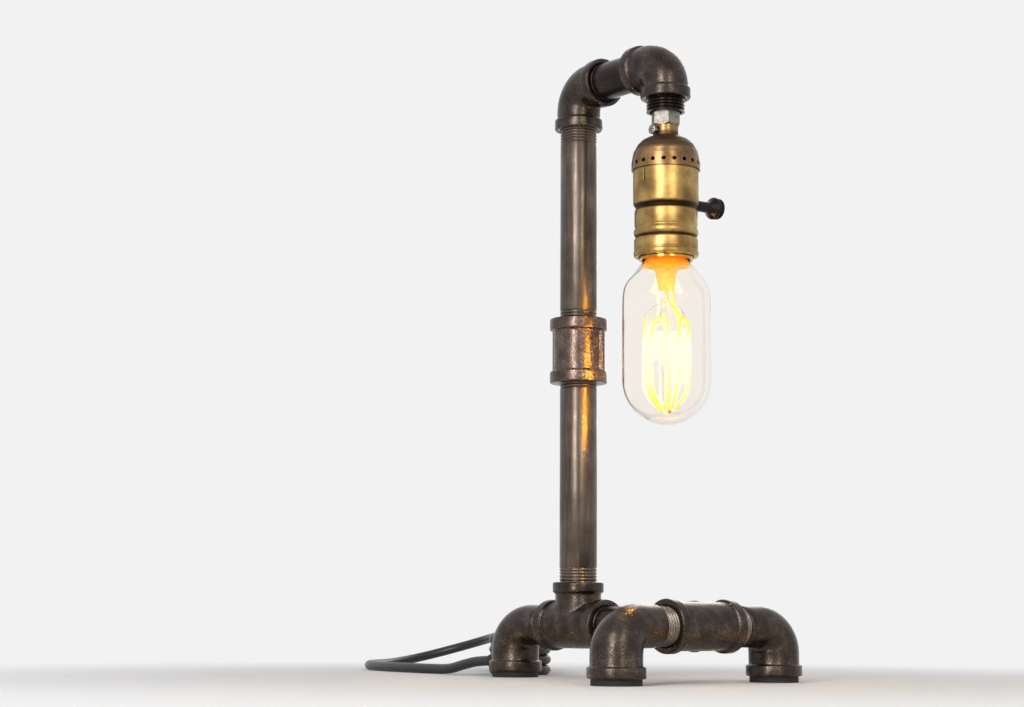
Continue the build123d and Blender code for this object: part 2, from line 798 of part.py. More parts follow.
def on_plug(part):
    """Place a part made along +X from the plug's back face."""
    x, y, z = on_hank(hank_far + plug_gap, plug_offset, floor_gap)
    return Pos(x, y, z) * (Rot(0, 0, hank_heading) * part)


def blade_pair(grow, length, start):
    """Two flat blades side by side, pointing along +X."""
    _, thick, high = blade_size
    blade = Box(length, thick + grow, high + grow)
    middle = start + length / 2
    height = plug_size[2] / 2
    return [Pos(middle, side * blade_spacing / 2, height) * blade for side in (1, -1)]


def plug_body():
    """Moulded two-blade plug, lying flat."""
    length, width, height = plug_size
    grip = Pos(length / 2, 0, height / 2) * Box(length, width, height)
    grip = fillet(grip.edges().filter_by(Axis.X), 4.0)
    pocket = blade_pair(2 * small_fit, blade_root + small_fit, length - blade_root - small_fit)
    return on_plug(grip - pocket)


def plug_blades():
    """The two flat blades of the plug."""
    length = blade_size[0] + blade_root
    return Compound([on_plug(one) for one in blade_pair(0, length, plug_size[0] - blade_root)])


# ---------------------------------------------------------------- assembly
def upright(length, low, high, z):
    """Pipe of the riser, screwed in at both ends."""
    part = threaded_pipe(length + 2 * engagement, engagement + low, engagement + high)
    return Pos(0, riser_y, z - engagement) * part


def level(length, start_y):
    """Short pipe lying along -Y from a face."""
    low, high = short_pipe_threads
    part = threaded_pipe(length + 2 * engagement, engagement + low, engagement + high)
    return Pos(0, start_y + engagement, 0) * (Rot(90, 0, 0) * part)


def swung(part):
    """Turn a piece that hangs on the arm about the riser."""
    return Pos(0, riser_y, 0) * (Rot(0, 0, arm_turn) * (Pos(0, -riser_y, 0) * part))


parts = {
    "rear_foot_elbow": rear_foot(),
    "front_left_foot_elbow": Pos(-front_reach, cross_y, base_z) * foot_elbow(),
    "front_right_foot_elbow": Pos(front_reach, cross_y, base_z) * (Rot(0, 0, 180) * foot_elbow()),
    "riser_tee": Pos(0, riser_y, base_z) * (Rot(0, 0, 90) * tee()),
    "cross_tee": Pos(0, cross_y, base_z) * (Rot(-90, 0, 0) * tee()),
    "spine_nipple": Pos(0, 0, base_z) * level(spine_shows, riser_y - face_reach),
    "lower_riser_pipe": upright(lower_riser_shows, *lower_riser_threads, base_z + face_reach),
    "riser_coupling": Pos(0, riser_y, coupling_z) * coupling(),
    "upper_riser_pipe": upright(
        upper_riser_shows, *upper_riser_threads, coupling_z + coupling_length),
    "arm_rear_elbow": Pos(0, riser_y, arm_z) * (Rot(0, 0, -90) * elbow(face_reach)),
    "arm_nipple": Pos(0, 0, arm_z) * level(arm_shows, riser_y - face_reach),
    "arm_front_elbow": Pos(0, socket_y, arm_z) * (Rot(0, 0, 90) * elbow(drop_reach)),
    "reducing_bush": Pos(0, socket_y, bush_z) * reducing_bush(),
    "lamp_stud": lamp_stud(),
    "spring_washer": spring_washer(),
    "lock_nut": lock_nut(),
    "socket_cap": socket_cap(),
    "cap_set_screw": set_screw(),
    "socket_shell": socket_shell(),
    "shell_liner": shell_liner(),
    "socket_body_lower": lower_body(),
    "socket_body_upper": upper_body(),
    "terminal_screws": terminal_screws(),
    "screw_shell": screw_shell(),
    "centre_contact": centre_contact(),
    "switch_rotor": switch_rotor(),
    "switch_knob": switch_knob(),
    "bulb_screw_base": bulb_screw_base(),
    "bulb_base_insulator": bulb_base_insulator(),
    "bulb_tip_contact": bulb_tip_contact(),
    "bulb_glass": bulb_glass(),
    "bulb_stem": bulb_stem(),
    "filament": filament(),
    "filament_supports": filament_supports(),
    "rear_foot_pad": Pos(0, rear_y, 0) * foot_pad(),
    "front_left_foot_pad": Pos(-front_reach, cross_y, 0) * foot_pad(),
    "front_right_foot_pad": Pos(front_reach, cross_y, 0) * foot_pad(),
    "riser_cord": riser_cord(),
    "arm_cord": arm_cord(),
    "live_lead": live_lead(),
    "neutral_lead": neutral_lead(),
    "cord_gland": cord_gland(),
    "cord_run": cord_run(),
    "cord_hank": cord_hank(),
    "hank_tie": hank_tie(),
    "plug_lead": plug_lead(),
    "plug_body": plug_body(),
    "plug_blades": plug_blades(),
}

on_arm = [
    "arm_rear_elbow", "arm_nipple", "arm_front_elbow", "reducing_bush", "lamp_stud",
    "spring_washer", "lock_nut", "socket_cap", "cap_set_screw", "socket_shell", "shell_liner",
    "socket_body_lower", "socket_body_upper", "terminal_screws", "screw_shell",
    "centre_contact", "switch_rotor", "switch_knob", "bulb_screw_base",
    "bulb_base_insulator", "bulb_tip_contact", "bulb_glass", "bulb_stem", "filament",
    "filament_supports", "arm_cord", "live_lead", "neutral_lead"]
for name in on_arm:
    parts[name] = swung(parts[name])

for route in (cord_route, plug_route):
    print("radii:", [round(r, 1) for r in route_radii(route)])
os.makedirs("parts", exist_ok=True)
for name, part in parts.items():
    export_step(part, f"parts/{name}.step")
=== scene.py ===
# %% [markdown]
# # Industrial pipe table lamp
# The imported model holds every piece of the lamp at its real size. This lesson
# dresses it: first the camera and the cord, then the finishes, then the pieces
# whose shape a founder, a glass blower or a cable maker would recognise.

# %% Load the frame
import json
import math

import bpy
from mathutils import Matrix, Vector

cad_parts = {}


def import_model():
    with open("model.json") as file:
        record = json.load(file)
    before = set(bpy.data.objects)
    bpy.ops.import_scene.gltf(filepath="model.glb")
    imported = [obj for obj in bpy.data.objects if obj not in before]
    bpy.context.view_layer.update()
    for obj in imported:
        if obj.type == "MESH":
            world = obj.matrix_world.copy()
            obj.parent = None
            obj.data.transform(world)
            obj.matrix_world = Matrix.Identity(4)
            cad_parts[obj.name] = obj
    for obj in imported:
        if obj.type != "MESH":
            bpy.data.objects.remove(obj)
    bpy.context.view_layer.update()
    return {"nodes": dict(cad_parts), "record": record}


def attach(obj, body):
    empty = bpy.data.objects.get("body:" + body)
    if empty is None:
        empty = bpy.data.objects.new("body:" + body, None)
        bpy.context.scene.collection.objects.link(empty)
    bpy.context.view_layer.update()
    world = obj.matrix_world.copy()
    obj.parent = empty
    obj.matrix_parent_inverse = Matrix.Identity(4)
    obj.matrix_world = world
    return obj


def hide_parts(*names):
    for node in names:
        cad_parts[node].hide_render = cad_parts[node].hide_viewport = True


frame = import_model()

MM = 0.001

# %% [markdown]
# ## Camera
# A long lens a good metre away, just above the table, keeps the uprights
# straight. The camera is built from its bearing, its tilt and its roll, so
# that each can be tuned by itself.

# %% Camera
CAMERA_PLACE = Vector((-789.2, -861.0, 33.8)) * MM
CAMERA_BEARING = math.radians(-40.0)
CAMERA_TILT = math.radians(7.29)
CAMERA_ROLL = math.radians(0.32)
FOCAL_PIXELS = 2071.9
FRAME_WIDTH = 1024
SENSOR = 36.0


def place_camera():
    """Camera that looks along a bearing from +Y, tilted up and rolled."""
    forward = Vector((
        -math.sin(CAMERA_BEARING) * math.cos(CAMERA_TILT),
        math.cos(CAMERA_BEARING) * math.cos(CAMERA_TILT),
        math.sin(CAMERA_TILT)))
    level = Vector((math.cos(CAMERA_BEARING), math.sin(CAMERA_BEARING), 0))
    upright = level.cross(forward)
    right = level * math.cos(CAMERA_ROLL) + upright * math.sin(CAMERA_ROLL)
    up = upright * math.cos(CAMERA_ROLL) - level * math.sin(CAMERA_ROLL)
    data = bpy.data.cameras.new("camera")
    data.sensor_fit = "HORIZONTAL"
    data.sensor_width = SENSOR
    data.lens = FOCAL_PIXELS / FRAME_WIDTH * SENSOR
    data.clip_start = 0.01
    camera = bpy.data.objects.new("camera", data)
    bpy.context.scene.collection.objects.link(camera)
    turn = Matrix((right, up, -forward)).transposed().to_4x4()
    camera.matrix_world = Matrix.Translation(CAMERA_PLACE) @ turn
    bpy.context.scene.camera = camera
    return camera


camera = place_camera()
print("lens in mm:", round(camera.data.lens, 1))

# %% [markdown]
# ## Cord
# A black two-core lead 6 mm thick leaves a short bush in the back of the rear
# foot, drops to the table and swings round in one loose curve. The rest of it
# is put away behind the lamp: folded into loops, tied at the waist. One smooth
# NURBS line carries all of it, so its length is real and nothing is faked.
# Order 3 must be set after the points are there, or the line stays straight.
# The thickness is each point's own radius, because Blender grows a curve's
# box by that radius: left at 1, it would make the lamp two metres wide.

# %% Route over the table
REAR_FOOT = Vector((0, 75.0, 0))
CORD_RADIUS = 3.0
EXIT_HEIGHT = 9.0
TABLE_GAP = 0.05
ON_TABLE = CORD_RADIUS + TABLE_GAP
GLAND_END = 97.4
HANK_HEADING = 50.08
HANK_NEAR = 36.0
HANK_FAR = 186.0
HANK_MIDDLE = 3.0
PLUG_PLACE = 226
PLUG_SIDE = 6.1
PLUG_MIDDLE = 7.5
PLUG_AXIS = PLUG_MIDDLE + TABLE_GAP


def on_hank(along, across, height):
    """Point in mm, measured along the hank from the rear foot, across it and up."""
    turn = math.radians(HANK_HEADING)
    heading = Vector((math.cos(turn), math.sin(turn), 0))
    side = Vector((math.sin(turn), -math.cos(turn), 0))
    return REAR_FOOT + along * heading + across * side + Vector((0, 0, height))


route = [
    (0, 90.4, EXIT_HEIGHT), (0, 107, EXIT_HEIGHT), (0, 123.5, 6.2),
    (0.3, 137, ON_TABLE), (1.2, 159, ON_TABLE), (3.2, 183, ON_TABLE),
    (7.5, 212, ON_TABLE), (17.8, 245.5, ON_TABLE), (43.5, 276, ON_TABLE),
    on_hank(215, -84.0, ON_TABLE), on_hank(235.5, -63.5, 7.0),
    on_hank(235.5, -33.5, 15.0), on_hank(215, -13.0, 21.35)]
lead_out = [
    on_hank(HANK_FAR, PLUG_SIDE, ON_TABLE), on_hank(199, PLUG_SIDE, ON_TABLE),
    on_hank(213, PLUG_SIDE, PLUG_AXIS), on_hank(PLUG_PLACE, PLUG_SIDE, PLUG_AXIS)]
print(len(route), "points from the foot to the hank")

# %% [markdown]
# ## Hank
# Eight lengths lie in four layers. At each end they open into round loops,
# wide enough for the lead, and at the waist they are pulled together, four
# side by side and two high. The inner strands of each pair move in first, so
# that no strand passes through another.

# %% Loops of the hank
LOOP = 16.0
LAYERS = 4
LAYER_RISE = 6.1
WAIST_ROWS = (4.75, 11.05)
WAIST_COLUMNS = (3.1, 9.35)
NEAR_SLACK = (1.4, -0.6, 2.6, -1.2)
FAR_SLACK = (0.0, 0.9, -0.5, 0.7)
LOOP_ROOM = LOOP + CORD_RADIUS + 0.1
LOOP_STEP = 30
near_loop = HANK_NEAR + LOOP_ROOM
far_loop = HANK_FAR - LOOP_ROOM
waist = (HANK_NEAR + HANK_FAR) / 2


def ease(s, start, end):
    """Smooth step from 0 to 1 between two places."""
    x = min(max((s - start) / (end - start), 0), 1)
    return x * x * (3 - 2 * x)


def strand_point(layer, side, s):
    """Place across and up of one strand, s from 0 at its loop to 1 at the waist."""
    outer = layer % 2
    closing = (0.45, 0.95) if outer else (0.05, 0.6)
    sinking = (0.45, 0.95) if outer else (0.3, 0.72)
    across = LOOP + (WAIST_COLUMNS[outer] - LOOP) * ease(s, *closing)
    level = ON_TABLE + LAYER_RISE * layer
    height = level + (WAIST_ROWS[layer // 2] - level) * ease(s, *sinking)
    return side * across, height


def strand(layer, side, outward):
    """Points of one strand between its two loops, from near to far if outward."""
    steps = (0.1, 0.28, 0.46, 0.64, 0.82, 1.0, 0.82, 0.64, 0.46, 0.28, 0.1)
    points = []
    for i, s in enumerate(steps):
        reach = s * (waist - near_loop)
        along = near_loop + reach if i <= 5 else far_loop - reach
        across, height = strand_point(layer, side, s)
        points.append((along, across, height))
    return points if outward else points[::-1]


def loop(layer, far):
    """Round end of two strands; a far loop drops one layer on its left side."""
    drop = (0, 0, 0, 0.12, 0.36, 0.62) if far else (0,) * 6
    start = 1 if far else -1
    radius = LOOP / math.cos(math.radians(LOOP_STEP / 2))
    points = []
    for i in range(6):
        angle = math.radians(LOOP_STEP * (i + 0.5))
        out = radius * math.sin(angle)
        slack = 1 + (FAR_SLACK if far else NEAR_SLACK)[layer] / LOOP
        along = far_loop + slack * out if far else near_loop - slack * out
        height = ON_TABLE + LAYER_RISE * (layer - drop[i])
        points.append((along, start * radius * math.cos(angle), height))
    return points


def hank_line():
    """All points of the hank, from the top layer down, along, across and up."""
    line = []
    for layer in reversed(range(LAYERS)):
        line += strand(layer, -1, outward=False)
        line += loop(layer, far=False)
        if layer:
            line += strand(layer, 1, outward=True)
            line += loop(layer, far=True)
    last = strand(0, 1, outward=True)[:6]
    return line + last + [(135, 3.1, 3.9), (160, 3.1, ON_TABLE)]


hank = [on_hank(along, HANK_MIDDLE + across, height) for along, across, height in hank_line()]
print(len(hank), "points in the hank")

# %% One smooth line
LINE_STEPS = 6


def line_of(name, points, radius, steps, sides):
    """NURBS tube of a radius that follows points, all in mm."""
    data = bpy.data.curves.new(name, "CURVE")
    data.dimensions = "3D"
    line = data.splines.new("NURBS")
    line.points.add(len(points) - 1)
    for knot, point in zip(line.points, points):
        knot.co = (*(Vector(point) * MM), 1)
        knot.radius = radius * MM
    line.order_u = 3
    line.use_endpoint_u = True
    line.resolution_u = steps
    data.resolution_u = steps
    data.bevel_depth = 1.0
    data.bevel_resolution = sides
    data.use_fill_caps = True
    curve = bpy.data.objects.new(name, data)
    bpy.context.scene.collection.objects.link(curve)
    return curve


cord = line_of("mains_cord", route + hank + lead_out, CORD_RADIUS, LINE_STEPS, 5)
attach(cord, "base")
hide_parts("cord_run", "cord_hank", "plug_lead")
print("cord through", len(cord.data.splines[0].points), "points")

# %% [markdown]
# ## Helpers for finishes
# Paint charts give colours as sRGB hex values, while a shader works with
# linear light, so one function turns them over. Another adds a node, sets it
# and links it, which keeps each finish short enough to read as a recipe: a
# node given as an input passes on its first output.

# %% Colour and node helpers
def linear(hex_colour):
    """Linear RGBA from an sRGB hex value such as "8a6a2e"."""
    channels = [int(hex_colour[i:i + 2], 16) / 255 for i in (0, 2, 4)]
    return (*(c / 12.92 if c <= 0.04045 else ((c + 0.055) / 1.055) ** 2.4 for c in channels), 1.0)


def add(tree, kind, inputs=None, stops=(), **settings):
    """Add a node with its settings and links; stops are a ramp's places and colours."""
    node = tree.nodes.new(kind)
    for name, value in settings.items():
        setattr(node, name, value)
    for name, value in (inputs or {}).items():
        if isinstance(value, bpy.types.Node):
            value = value.outputs[0]
        if isinstance(value, bpy.types.NodeSocket):
            tree.links.new(value, node.inputs[name])
        else:
            node.inputs[name].default_value = value
    for i, (place, colour) in enumerate(stops):
        if i == len(node.color_ramp.elements):
            node.color_ramp.elements.new(1.0)
        node.color_ramp.elements[i].position = place
        node.color_ramp.elements[i].color = linear(colour)
    return node


def new_finish(name):
    """Empty node material, with its tree and the place on the object."""
    material = bpy.data.materials.new(name)
    material.use_nodes = True
    tree = material.node_tree
    tree.nodes.clear()
    return material, tree, add(tree, "ShaderNodeTexCoord").outputs["Object"]


print("sRGB 808080 is linear", round(linear("808080")[0], 3))

# %% [markdown]
# ## Black malleable iron
# Pipe fittings are sand cast, so their skin is a fine grain of about half a
# millimetre over shallow hollows, and they are sold oiled. The grain is drawn
# somewhat coarser than it is, to show at this distance. The oil film gives a
# soft gloss that breaks into sparks on the grain, and the crests are rubbed
# brighter than the hollows. The coupling is the same iron, paler and smoother.

# %% Cast iron
def cast_iron(name, dark, middle, pale, grain_depth):
    """Oiled black casting: fine grain, shallow hollows and a broken gloss."""
    material, tree, place = new_finish(name)
    grain = add(tree, "ShaderNodeTexNoise", {
        "Vector": place, "Scale": 1 / (0.9 * MM), "Detail": 3.0, "Roughness": 0.6})
    hollows = add(tree, "ShaderNodeTexNoise", {
        "Vector": place, "Scale": 1 / (8 * MM), "Detail": 2.0, "Roughness": 0.5})
    mixed = add(tree, "ShaderNodeMath", {0: grain, 1: hollows}, operation="MULTIPLY")
    colour = add(tree, "ShaderNodeValToRGB", {"Fac": mixed}, stops=[
        (0.12, dark), (0.26, middle), (0.4, pale)])
    gloss = add(tree, "ShaderNodeMapRange", {
        "Value": grain, "From Min": 0.3, "From Max": 0.7, "To Min": 0.38, "To Max": 0.19})
    bump = add(tree, "ShaderNodeBump", {
        "Height": grain, "Strength": 0.5, "Distance": grain_depth * MM})
    waves = add(tree, "ShaderNodeBump", {
        "Height": hollows, "Normal": bump, "Strength": 0.35, "Distance": 0.9 * MM})
    shader = add(tree, "ShaderNodeBsdfPrincipled", {
        "Base Color": colour, "Metallic": 0.85, "Roughness": gloss, "Normal": waves})
    add(tree, "ShaderNodeOutputMaterial", {"Surface": shader})
    return material

# %% [markdown]
# ## Lacquered steel pipe
# Drawn pipe is far smoother than a casting. Its grey-brown lacquer has long,
# faint marks along the pipe, so the noise is squeezed across the pipe and
# stretched along it. The level pipes get a much darker copy of this finish,
# which is painted shade.

# %% Steel pipe
def steel_pipe(name, along, dark, middle, pale):
    """Lacquered pipe, with drawing marks along one axis."""
    material, tree, place = new_finish(name)
    stretch = [1 / (1.3 * MM)] * 3
    stretch[along] = 1 / (30 * MM)
    squeezed = add(tree, "ShaderNodeMapping", {"Vector": place, "Scale": stretch})
    marks = add(tree, "ShaderNodeTexNoise", {
        "Vector": squeezed, "Scale": 1.0, "Detail": 4.0, "Roughness": 0.6})
    cloud = add(tree, "ShaderNodeTexNoise", {
        "Vector": place, "Scale": 1 / (16 * MM), "Detail": 4.0, "Roughness": 0.6})
    mixed = add(tree, "ShaderNodeMath", {0: marks, 1: cloud}, operation="MULTIPLY")
    colour = add(tree, "ShaderNodeValToRGB", {"Fac": mixed}, stops=[
        (0.14, dark), (0.26, middle), (0.4, pale)])
    gloss = add(tree, "ShaderNodeMapRange", {
        "Value": cloud, "From Min": 0.3, "From Max": 0.7, "To Min": 0.35, "To Max": 0.24})
    bump = add(tree, "ShaderNodeBump", {"Height": marks, "Strength": 0.2, "Distance": 0.08 * MM})
    shader = add(tree, "ShaderNodeBsdfPrincipled", {
        "Base Color": colour, "Metallic": 0.9, "Roughness": gloss, "Normal": bump})
    add(tree, "ShaderNodeOutputMaterial", {"Surface": shader})
    return material

# %% [markdown]
# ## Aged brass
# The socket's cap and shell are spun from thin sheet, so they carry fine rings
# around their axis. Old lacquer turns the brass brown in soft patches. The two
# pressed grooves of the shell are darkened as painted shade, and the dome of the
# cap is dull and browner, so those zones are marked by their heights, and a ramp
# blends their edges. An occlusion node paints shade into the small corners.

# %% Brass
ZONES_FROM = 225
ZONES_TO = 310


def share_of_height(tree, place, low_mm, high_mm):
    """How far up the piece is between two heights, from 0 to 1."""
    height = add(tree, "ShaderNodeSeparateXYZ", {"Vector": place}).outputs["Z"]
    return add(tree, "ShaderNodeMapRange", {
        "Value": height, "From Min": low_mm * MM, "From Max": high_mm * MM})


def brass(name, pale, warm, dark, roughness, zones, tarnish_and_shade, blur=0.5):
    """Satin spun brass, darker and duller in some zones of height, in mm, with painted shade in
    its corners.
    """
    material, tree, place = new_finish(name)
    rings = add(tree, "ShaderNodeMapping", {
        "Vector": place, "Scale": (1 / (40 * MM), 1 / (40 * MM), 1 / (0.5 * MM))})
    lines = add(tree, "ShaderNodeTexNoise", {
        "Vector": rings, "Scale": 1.0, "Detail": 3.0, "Roughness": 0.6})
    patches = add(tree, "ShaderNodeTexNoise", {
        "Vector": place, "Scale": 1 / (12 * MM), "Detail": 4.0, "Roughness": 0.55})
    colour = add(tree, "ShaderNodeValToRGB", {"Fac": patches}, stops=[
        (0.3, dark), (0.5, warm), (0.72, pale)])
    share = share_of_height(tree, place, ZONES_FROM, ZONES_TO)
    stops = [(0.0, "000000")]
    for low, high in zones:
        edges = (low - blur, low + blur, high - blur, high + blur)
        shades = ("000000", "ffffff", "ffffff", "000000")
        stops += [
            ((edge - ZONES_FROM) / (ZONES_TO - ZONES_FROM), shade)
            for edge, shade in zip(edges, shades)]
    zone = add(tree, "ShaderNodeValToRGB", {"Fac": share}, stops=stops)
    # Painted shade: the occlusion node darkens small corners towards a dark brown, where shade
    # falls.
    corner = add(tree, "ShaderNodeAmbientOcclusion", {"Distance": 1.2 * MM}, samples=6)
    painted_corner_shade = add(tree, "ShaderNodeMapRange", {
        "Value": corner.outputs["AO"], "From Min": 0.5, "From Max": 0.9,
        "To Min": 0.8, "To Max": 0.0})
    with_corner_shade = add(tree, "ShaderNodeMix", {
        0: painted_corner_shade, 6: colour, 7: linear("33241a")}, data_type="RGBA")
    # The zone colour is painted shade in the shell's grooves and a browner tarnish on the cap's
    # dome.
    darkened_zones = add(tree, "ShaderNodeMix", {
        0: zone, 6: with_corner_shade.outputs[2], 7: linear(tarnish_and_shade)}, data_type="RGBA")
    gloss = add(tree, "ShaderNodeMapRange", {
        "Value": zone, "To Min": roughness, "To Max": roughness + 0.14})
    bump = add(tree, "ShaderNodeBump", {"Height": lines, "Strength": 0.12, "Distance": 0.1 * MM})
    shader = add(tree, "ShaderNodeBsdfPrincipled", {
        "Base Color": darkened_zones.outputs[2], "Metallic": 1.0, "Roughness": gloss, "Normal": bump})
    add(tree, "ShaderNodeOutputMaterial", {"Surface": shader})
    return material

# %% [markdown]
# ## Plain finishes
# Plastic, rubber, plate, cut steel and card differ in colour, gloss and the
# size of their grain. One recipe with those values serves them all.

# %% Plain finishes
def grained(name, low, high, grain_mm, roughness, metallic=0.0, bump_mm=0.05, specular=0.5):
    """Two close colours over a grain, with a little uneven gloss."""
    material, tree, place = new_finish(name)
    grain = add(tree, "ShaderNodeTexNoise", {
        "Vector": place, "Scale": 1 / (grain_mm * MM), "Detail": 4.0, "Roughness": 0.6})
    colour = add(tree, "ShaderNodeValToRGB", {"Fac": grain}, stops=[(0.32, low), (0.68, high)])
    gloss = add(tree, "ShaderNodeMapRange", {
        "Value": grain, "From Min": 0.3, "From Max": 0.7,
        "To Min": roughness + 0.06, "To Max": roughness - 0.06})
    bump = add(tree, "ShaderNodeBump", {
        "Height": grain, "Strength": 0.3, "Distance": bump_mm * MM})
    shader = add(tree, "ShaderNodeBsdfPrincipled", {
        "Base Color": colour, "Metallic": metallic, "Roughness": gloss, "Normal": bump,
        "Specular IOR Level": specular})
    add(tree, "ShaderNodeOutputMaterial", {"Surface": shader})
    return material

# %% [markdown]
# ## Glass and glow
# The bulb is almost colourless soda-lime glass with the slight ripple of a
# blown wall. Its stem is lead glass, and the filament's light on it is painted
# as a glow, from orange where the flare meets the neck to yellow at the press.
# The strand is carbon wire, pale yellow where it is hottest and orange where a
# hook cools it. It has two lights, told apart by how often a ray has bounced:
# the one that the eye sees shows that colour, while the one that is cast on the
# fittings, and mirrored in them, is far stronger.

# %% Glass and glow
def clear_glass():
    """Blown glass, a little uneven."""
    material, tree, place = new_finish("clear_soda_glass")
    ripple = add(tree, "ShaderNodeTexNoise", {
        "Vector": place, "Scale": 1 / (14 * MM), "Detail": 1.0})
    bump = add(tree, "ShaderNodeBump", {"Height": ripple, "Strength": 0.15, "Distance": 0.2 * MM})
    glass = add(tree, "ShaderNodeBsdfPrincipled", {
        "Base Color": linear("fffcf7"), "Roughness": 0.015, "IOR": 1.46,
        "Transmission Weight": 1.0, "Normal": bump})
    add(tree, "ShaderNodeOutputMaterial", {"Surface": glass})
    return material


def stem_with_painted_glow(low_mm, high_mm):
    """Lead glass with the filament's light painted on as a glow, yellow below to orange above."""
    material, tree, place = new_finish("lead_glass_stem_with_painted_glow")
    share = share_of_height(tree, place, low_mm, high_mm)
    colour = add(tree, "ShaderNodeValToRGB", {"Fac": share}, stops=[
        (0.0, "ffcc78"), (0.4, "ffa838"), (0.7, "ff8408"), (1.0, "ee6c00")])
    folds = add(tree, "ShaderNodeTexNoise", {
        "Vector": place, "Scale": 1 / (3.5 * MM), "Detail": 2.0, "Distortion": 1.2})
    light = add(tree, "ShaderNodeMapRange", {"Value": share, "To Min": 1.25, "To Max": 1.0})
    power = add(tree, "ShaderNodeMath", {0: light, 1: folds}, operation="MULTIPLY")
    # The orange base colour and the emission paint the filament's light onto the glass.
    shader = add(tree, "ShaderNodeBsdfPrincipled", {
        "Base Color": linear("e0902c"), "Roughness": 0.12, "IOR": 1.55,
        "Transmission Weight": 0.3, "Emission Color": colour, "Emission Strength": power})
    add(tree, "ShaderNodeOutputMaterial", {"Surface": shader})
    return material


def glowing(name, low_mm, high_mm, seen, seen_strength, thrown, strength):
    """Hot wire: one light to look at, by height, and a stronger one cast on the lamp."""
    material, tree, place = new_finish(name)
    share = share_of_height(tree, place, low_mm, high_mm)
    heat = add(tree, "ShaderNodeValToRGB", {"Fac": share}, stops=seen)
    path = add(tree, "ShaderNodeLightPath")
    bounces = add(tree, "ShaderNodeMath", {
        0: path.outputs["Glossy Depth"], 1: path.outputs["Diffuse Depth"]})
    cast = add(tree, "ShaderNodeMath", {0: bounces, 1: 0.5}, operation="GREATER_THAN")
    colour = add(tree, "ShaderNodeMix", {0: cast, 6: heat, 7: linear(thrown)}, data_type="RGBA")
    power = add(tree, "ShaderNodeMapRange", {
        "Value": cast, "To Min": seen_strength, "To Max": strength})
    shader = add(tree, "ShaderNodeBsdfPrincipled", {
        "Base Color": linear("3a2a1a"), "Roughness": 0.4,
        "Emission Color": colour.outputs[2], "Emission Strength": power})
    add(tree, "ShaderNodeOutputMaterial", {"Surface": shader})
    return material

# %% [markdown]
# ## The finishes and who wears them
# Each finish is made once, from two or three close colours of the real
# material, and named for it. The pieces that stay as they came get theirs
# here, by name; the ones that are redrawn get the same ones later.

# %% All finishes
FINISHES = {
    "iron": cast_iron("oiled_black_cast_iron", "2d2724", "3f3733", "5a504a", 0.16),
    "paler_iron": cast_iron("paler_smoother_cast_iron", "433834", "584b46", "75665e", 0.1),
    "pipe_upright": steel_pipe("lacquered_steel_pipe_upright", 2, "4a423d", "5a514b", "6b615a"),
    # The level pipes wear the same lacquer drawn much darker: painted shade.
    "shaded_level_pipe": steel_pipe("lacquered_steel_pipe_level_painted_shade", 1, "221c19", "302824", "433a35"),
    "cap_brass": brass(
        "spun_brass_dull_dome", "a5865a", "826647", "5e4a35", 0.3, [(290.3, 301)], "54412f", 0.8),
    # The shell's two zones are its pressed grooves, and their dark colour is painted shade.
    "shell_brass": brass(
        "satin_spun_brass", "c6a96a", "a0824f", "765c38", 0.34,
        [(240.9, 242.5), (256.3, 259.9)], "2b1f14"),
    "bright_brass": brass("bright_drawn_brass", "d8b56a", "b8924a", "8a6a30", 0.22, [], "8a6a30"),
    "thread": grained("cut_steel_thread", "5f5751", "8f867f", 0.5, 0.3, metallic=1.0),
    "zinc": grained("dull_zinc_plate", "6f6d69", "9b9892", 1.5, 0.42, metallic=1.0),
    "phenolic": grained("brown_black_phenolic", "0a0504", "150b07", 3.0, 0.34, specular=0.22),
    "rubber": grained("matt_black_rubber", "0b0b0b", "171717", 0.8, 0.75, bump_mm=0.1),
    "vinyl": grained("black_vinyl_cord", "0e0e0f", "1b1b1c", 1.2, 0.38),
    "nylon": grained("black_nylon_strap", "101010", "1e1e1f", 0.6, 0.5, bump_mm=0.08),
    "white_vinyl": grained("white_vinyl_lead", "cfcdc6", "e4e2db", 1.2, 0.4),
    "card": grained("brown_insulating_card", "4b3521", "6a4d30", 1.5, 0.8),
    "black_glass": grained("black_vitreous_insulator_and_slot_shade", "08080a", "121216", 4.0, 0.12),
    "solder": grained("lead_free_solder", "8d8d8b", "b6b6b2", 1.0, 0.35, metallic=1.0),
    "glass": clear_glass(),
    "stem": stem_with_painted_glow(211, 231),
    "wire": grained("nickel_support_wire", "77736c", "a39e95", 0.6, 0.3, metallic=1.0),
    "filament": glowing("glowing_carbon_filament", 146, 198, [
        (0.0, "ff8410"), (0.12, "ffa826"), (0.32, "ffe08c"), (0.7, "ffe9ac"),
        (0.88, "ffb83c"), (1.0, "ff9a20")], 2.0, "ffbc40", 150.0),
}
print(len(FINISHES), "finishes")

# %% Which finish each CAD piece that stays wears
WEARS = {
    "shaded_level_pipe": ["spine_nipple", "arm_nipple", "reducing_bush"],
    "cap_brass": ["socket_cap"],
    "bright_brass": [
        "screw_shell", "centre_contact", "terminal_screws", "bulb_screw_base", "plug_blades"],
    "zinc": ["lamp_stud", "spring_washer", "lock_nut"],
    "phenolic": ["switch_rotor", "socket_body_lower", "socket_body_upper"],
    "rubber": ["rear_foot_pad", "front_left_foot_pad", "front_right_foot_pad"],
    "vinyl": ["riser_cord", "arm_cord", "live_lead"],
    "white_vinyl": ["neutral_lead"],
    "card": ["shell_liner"],
    "black_glass": ["bulb_base_insulator"],
    "solder": ["bulb_tip_contact"],
    "wire": ["cap_set_screw"],
}

for finish, nodes in WEARS.items():
    for node in nodes:
        for slot in frame["nodes"][node].material_slots:
            slot.material = FINISHES[finish]
cord.data.materials.append(FINISHES["vinyl"])
print("dressed", sum(len(nodes) for nodes in WEARS.values()), "CAD pieces and the cord")

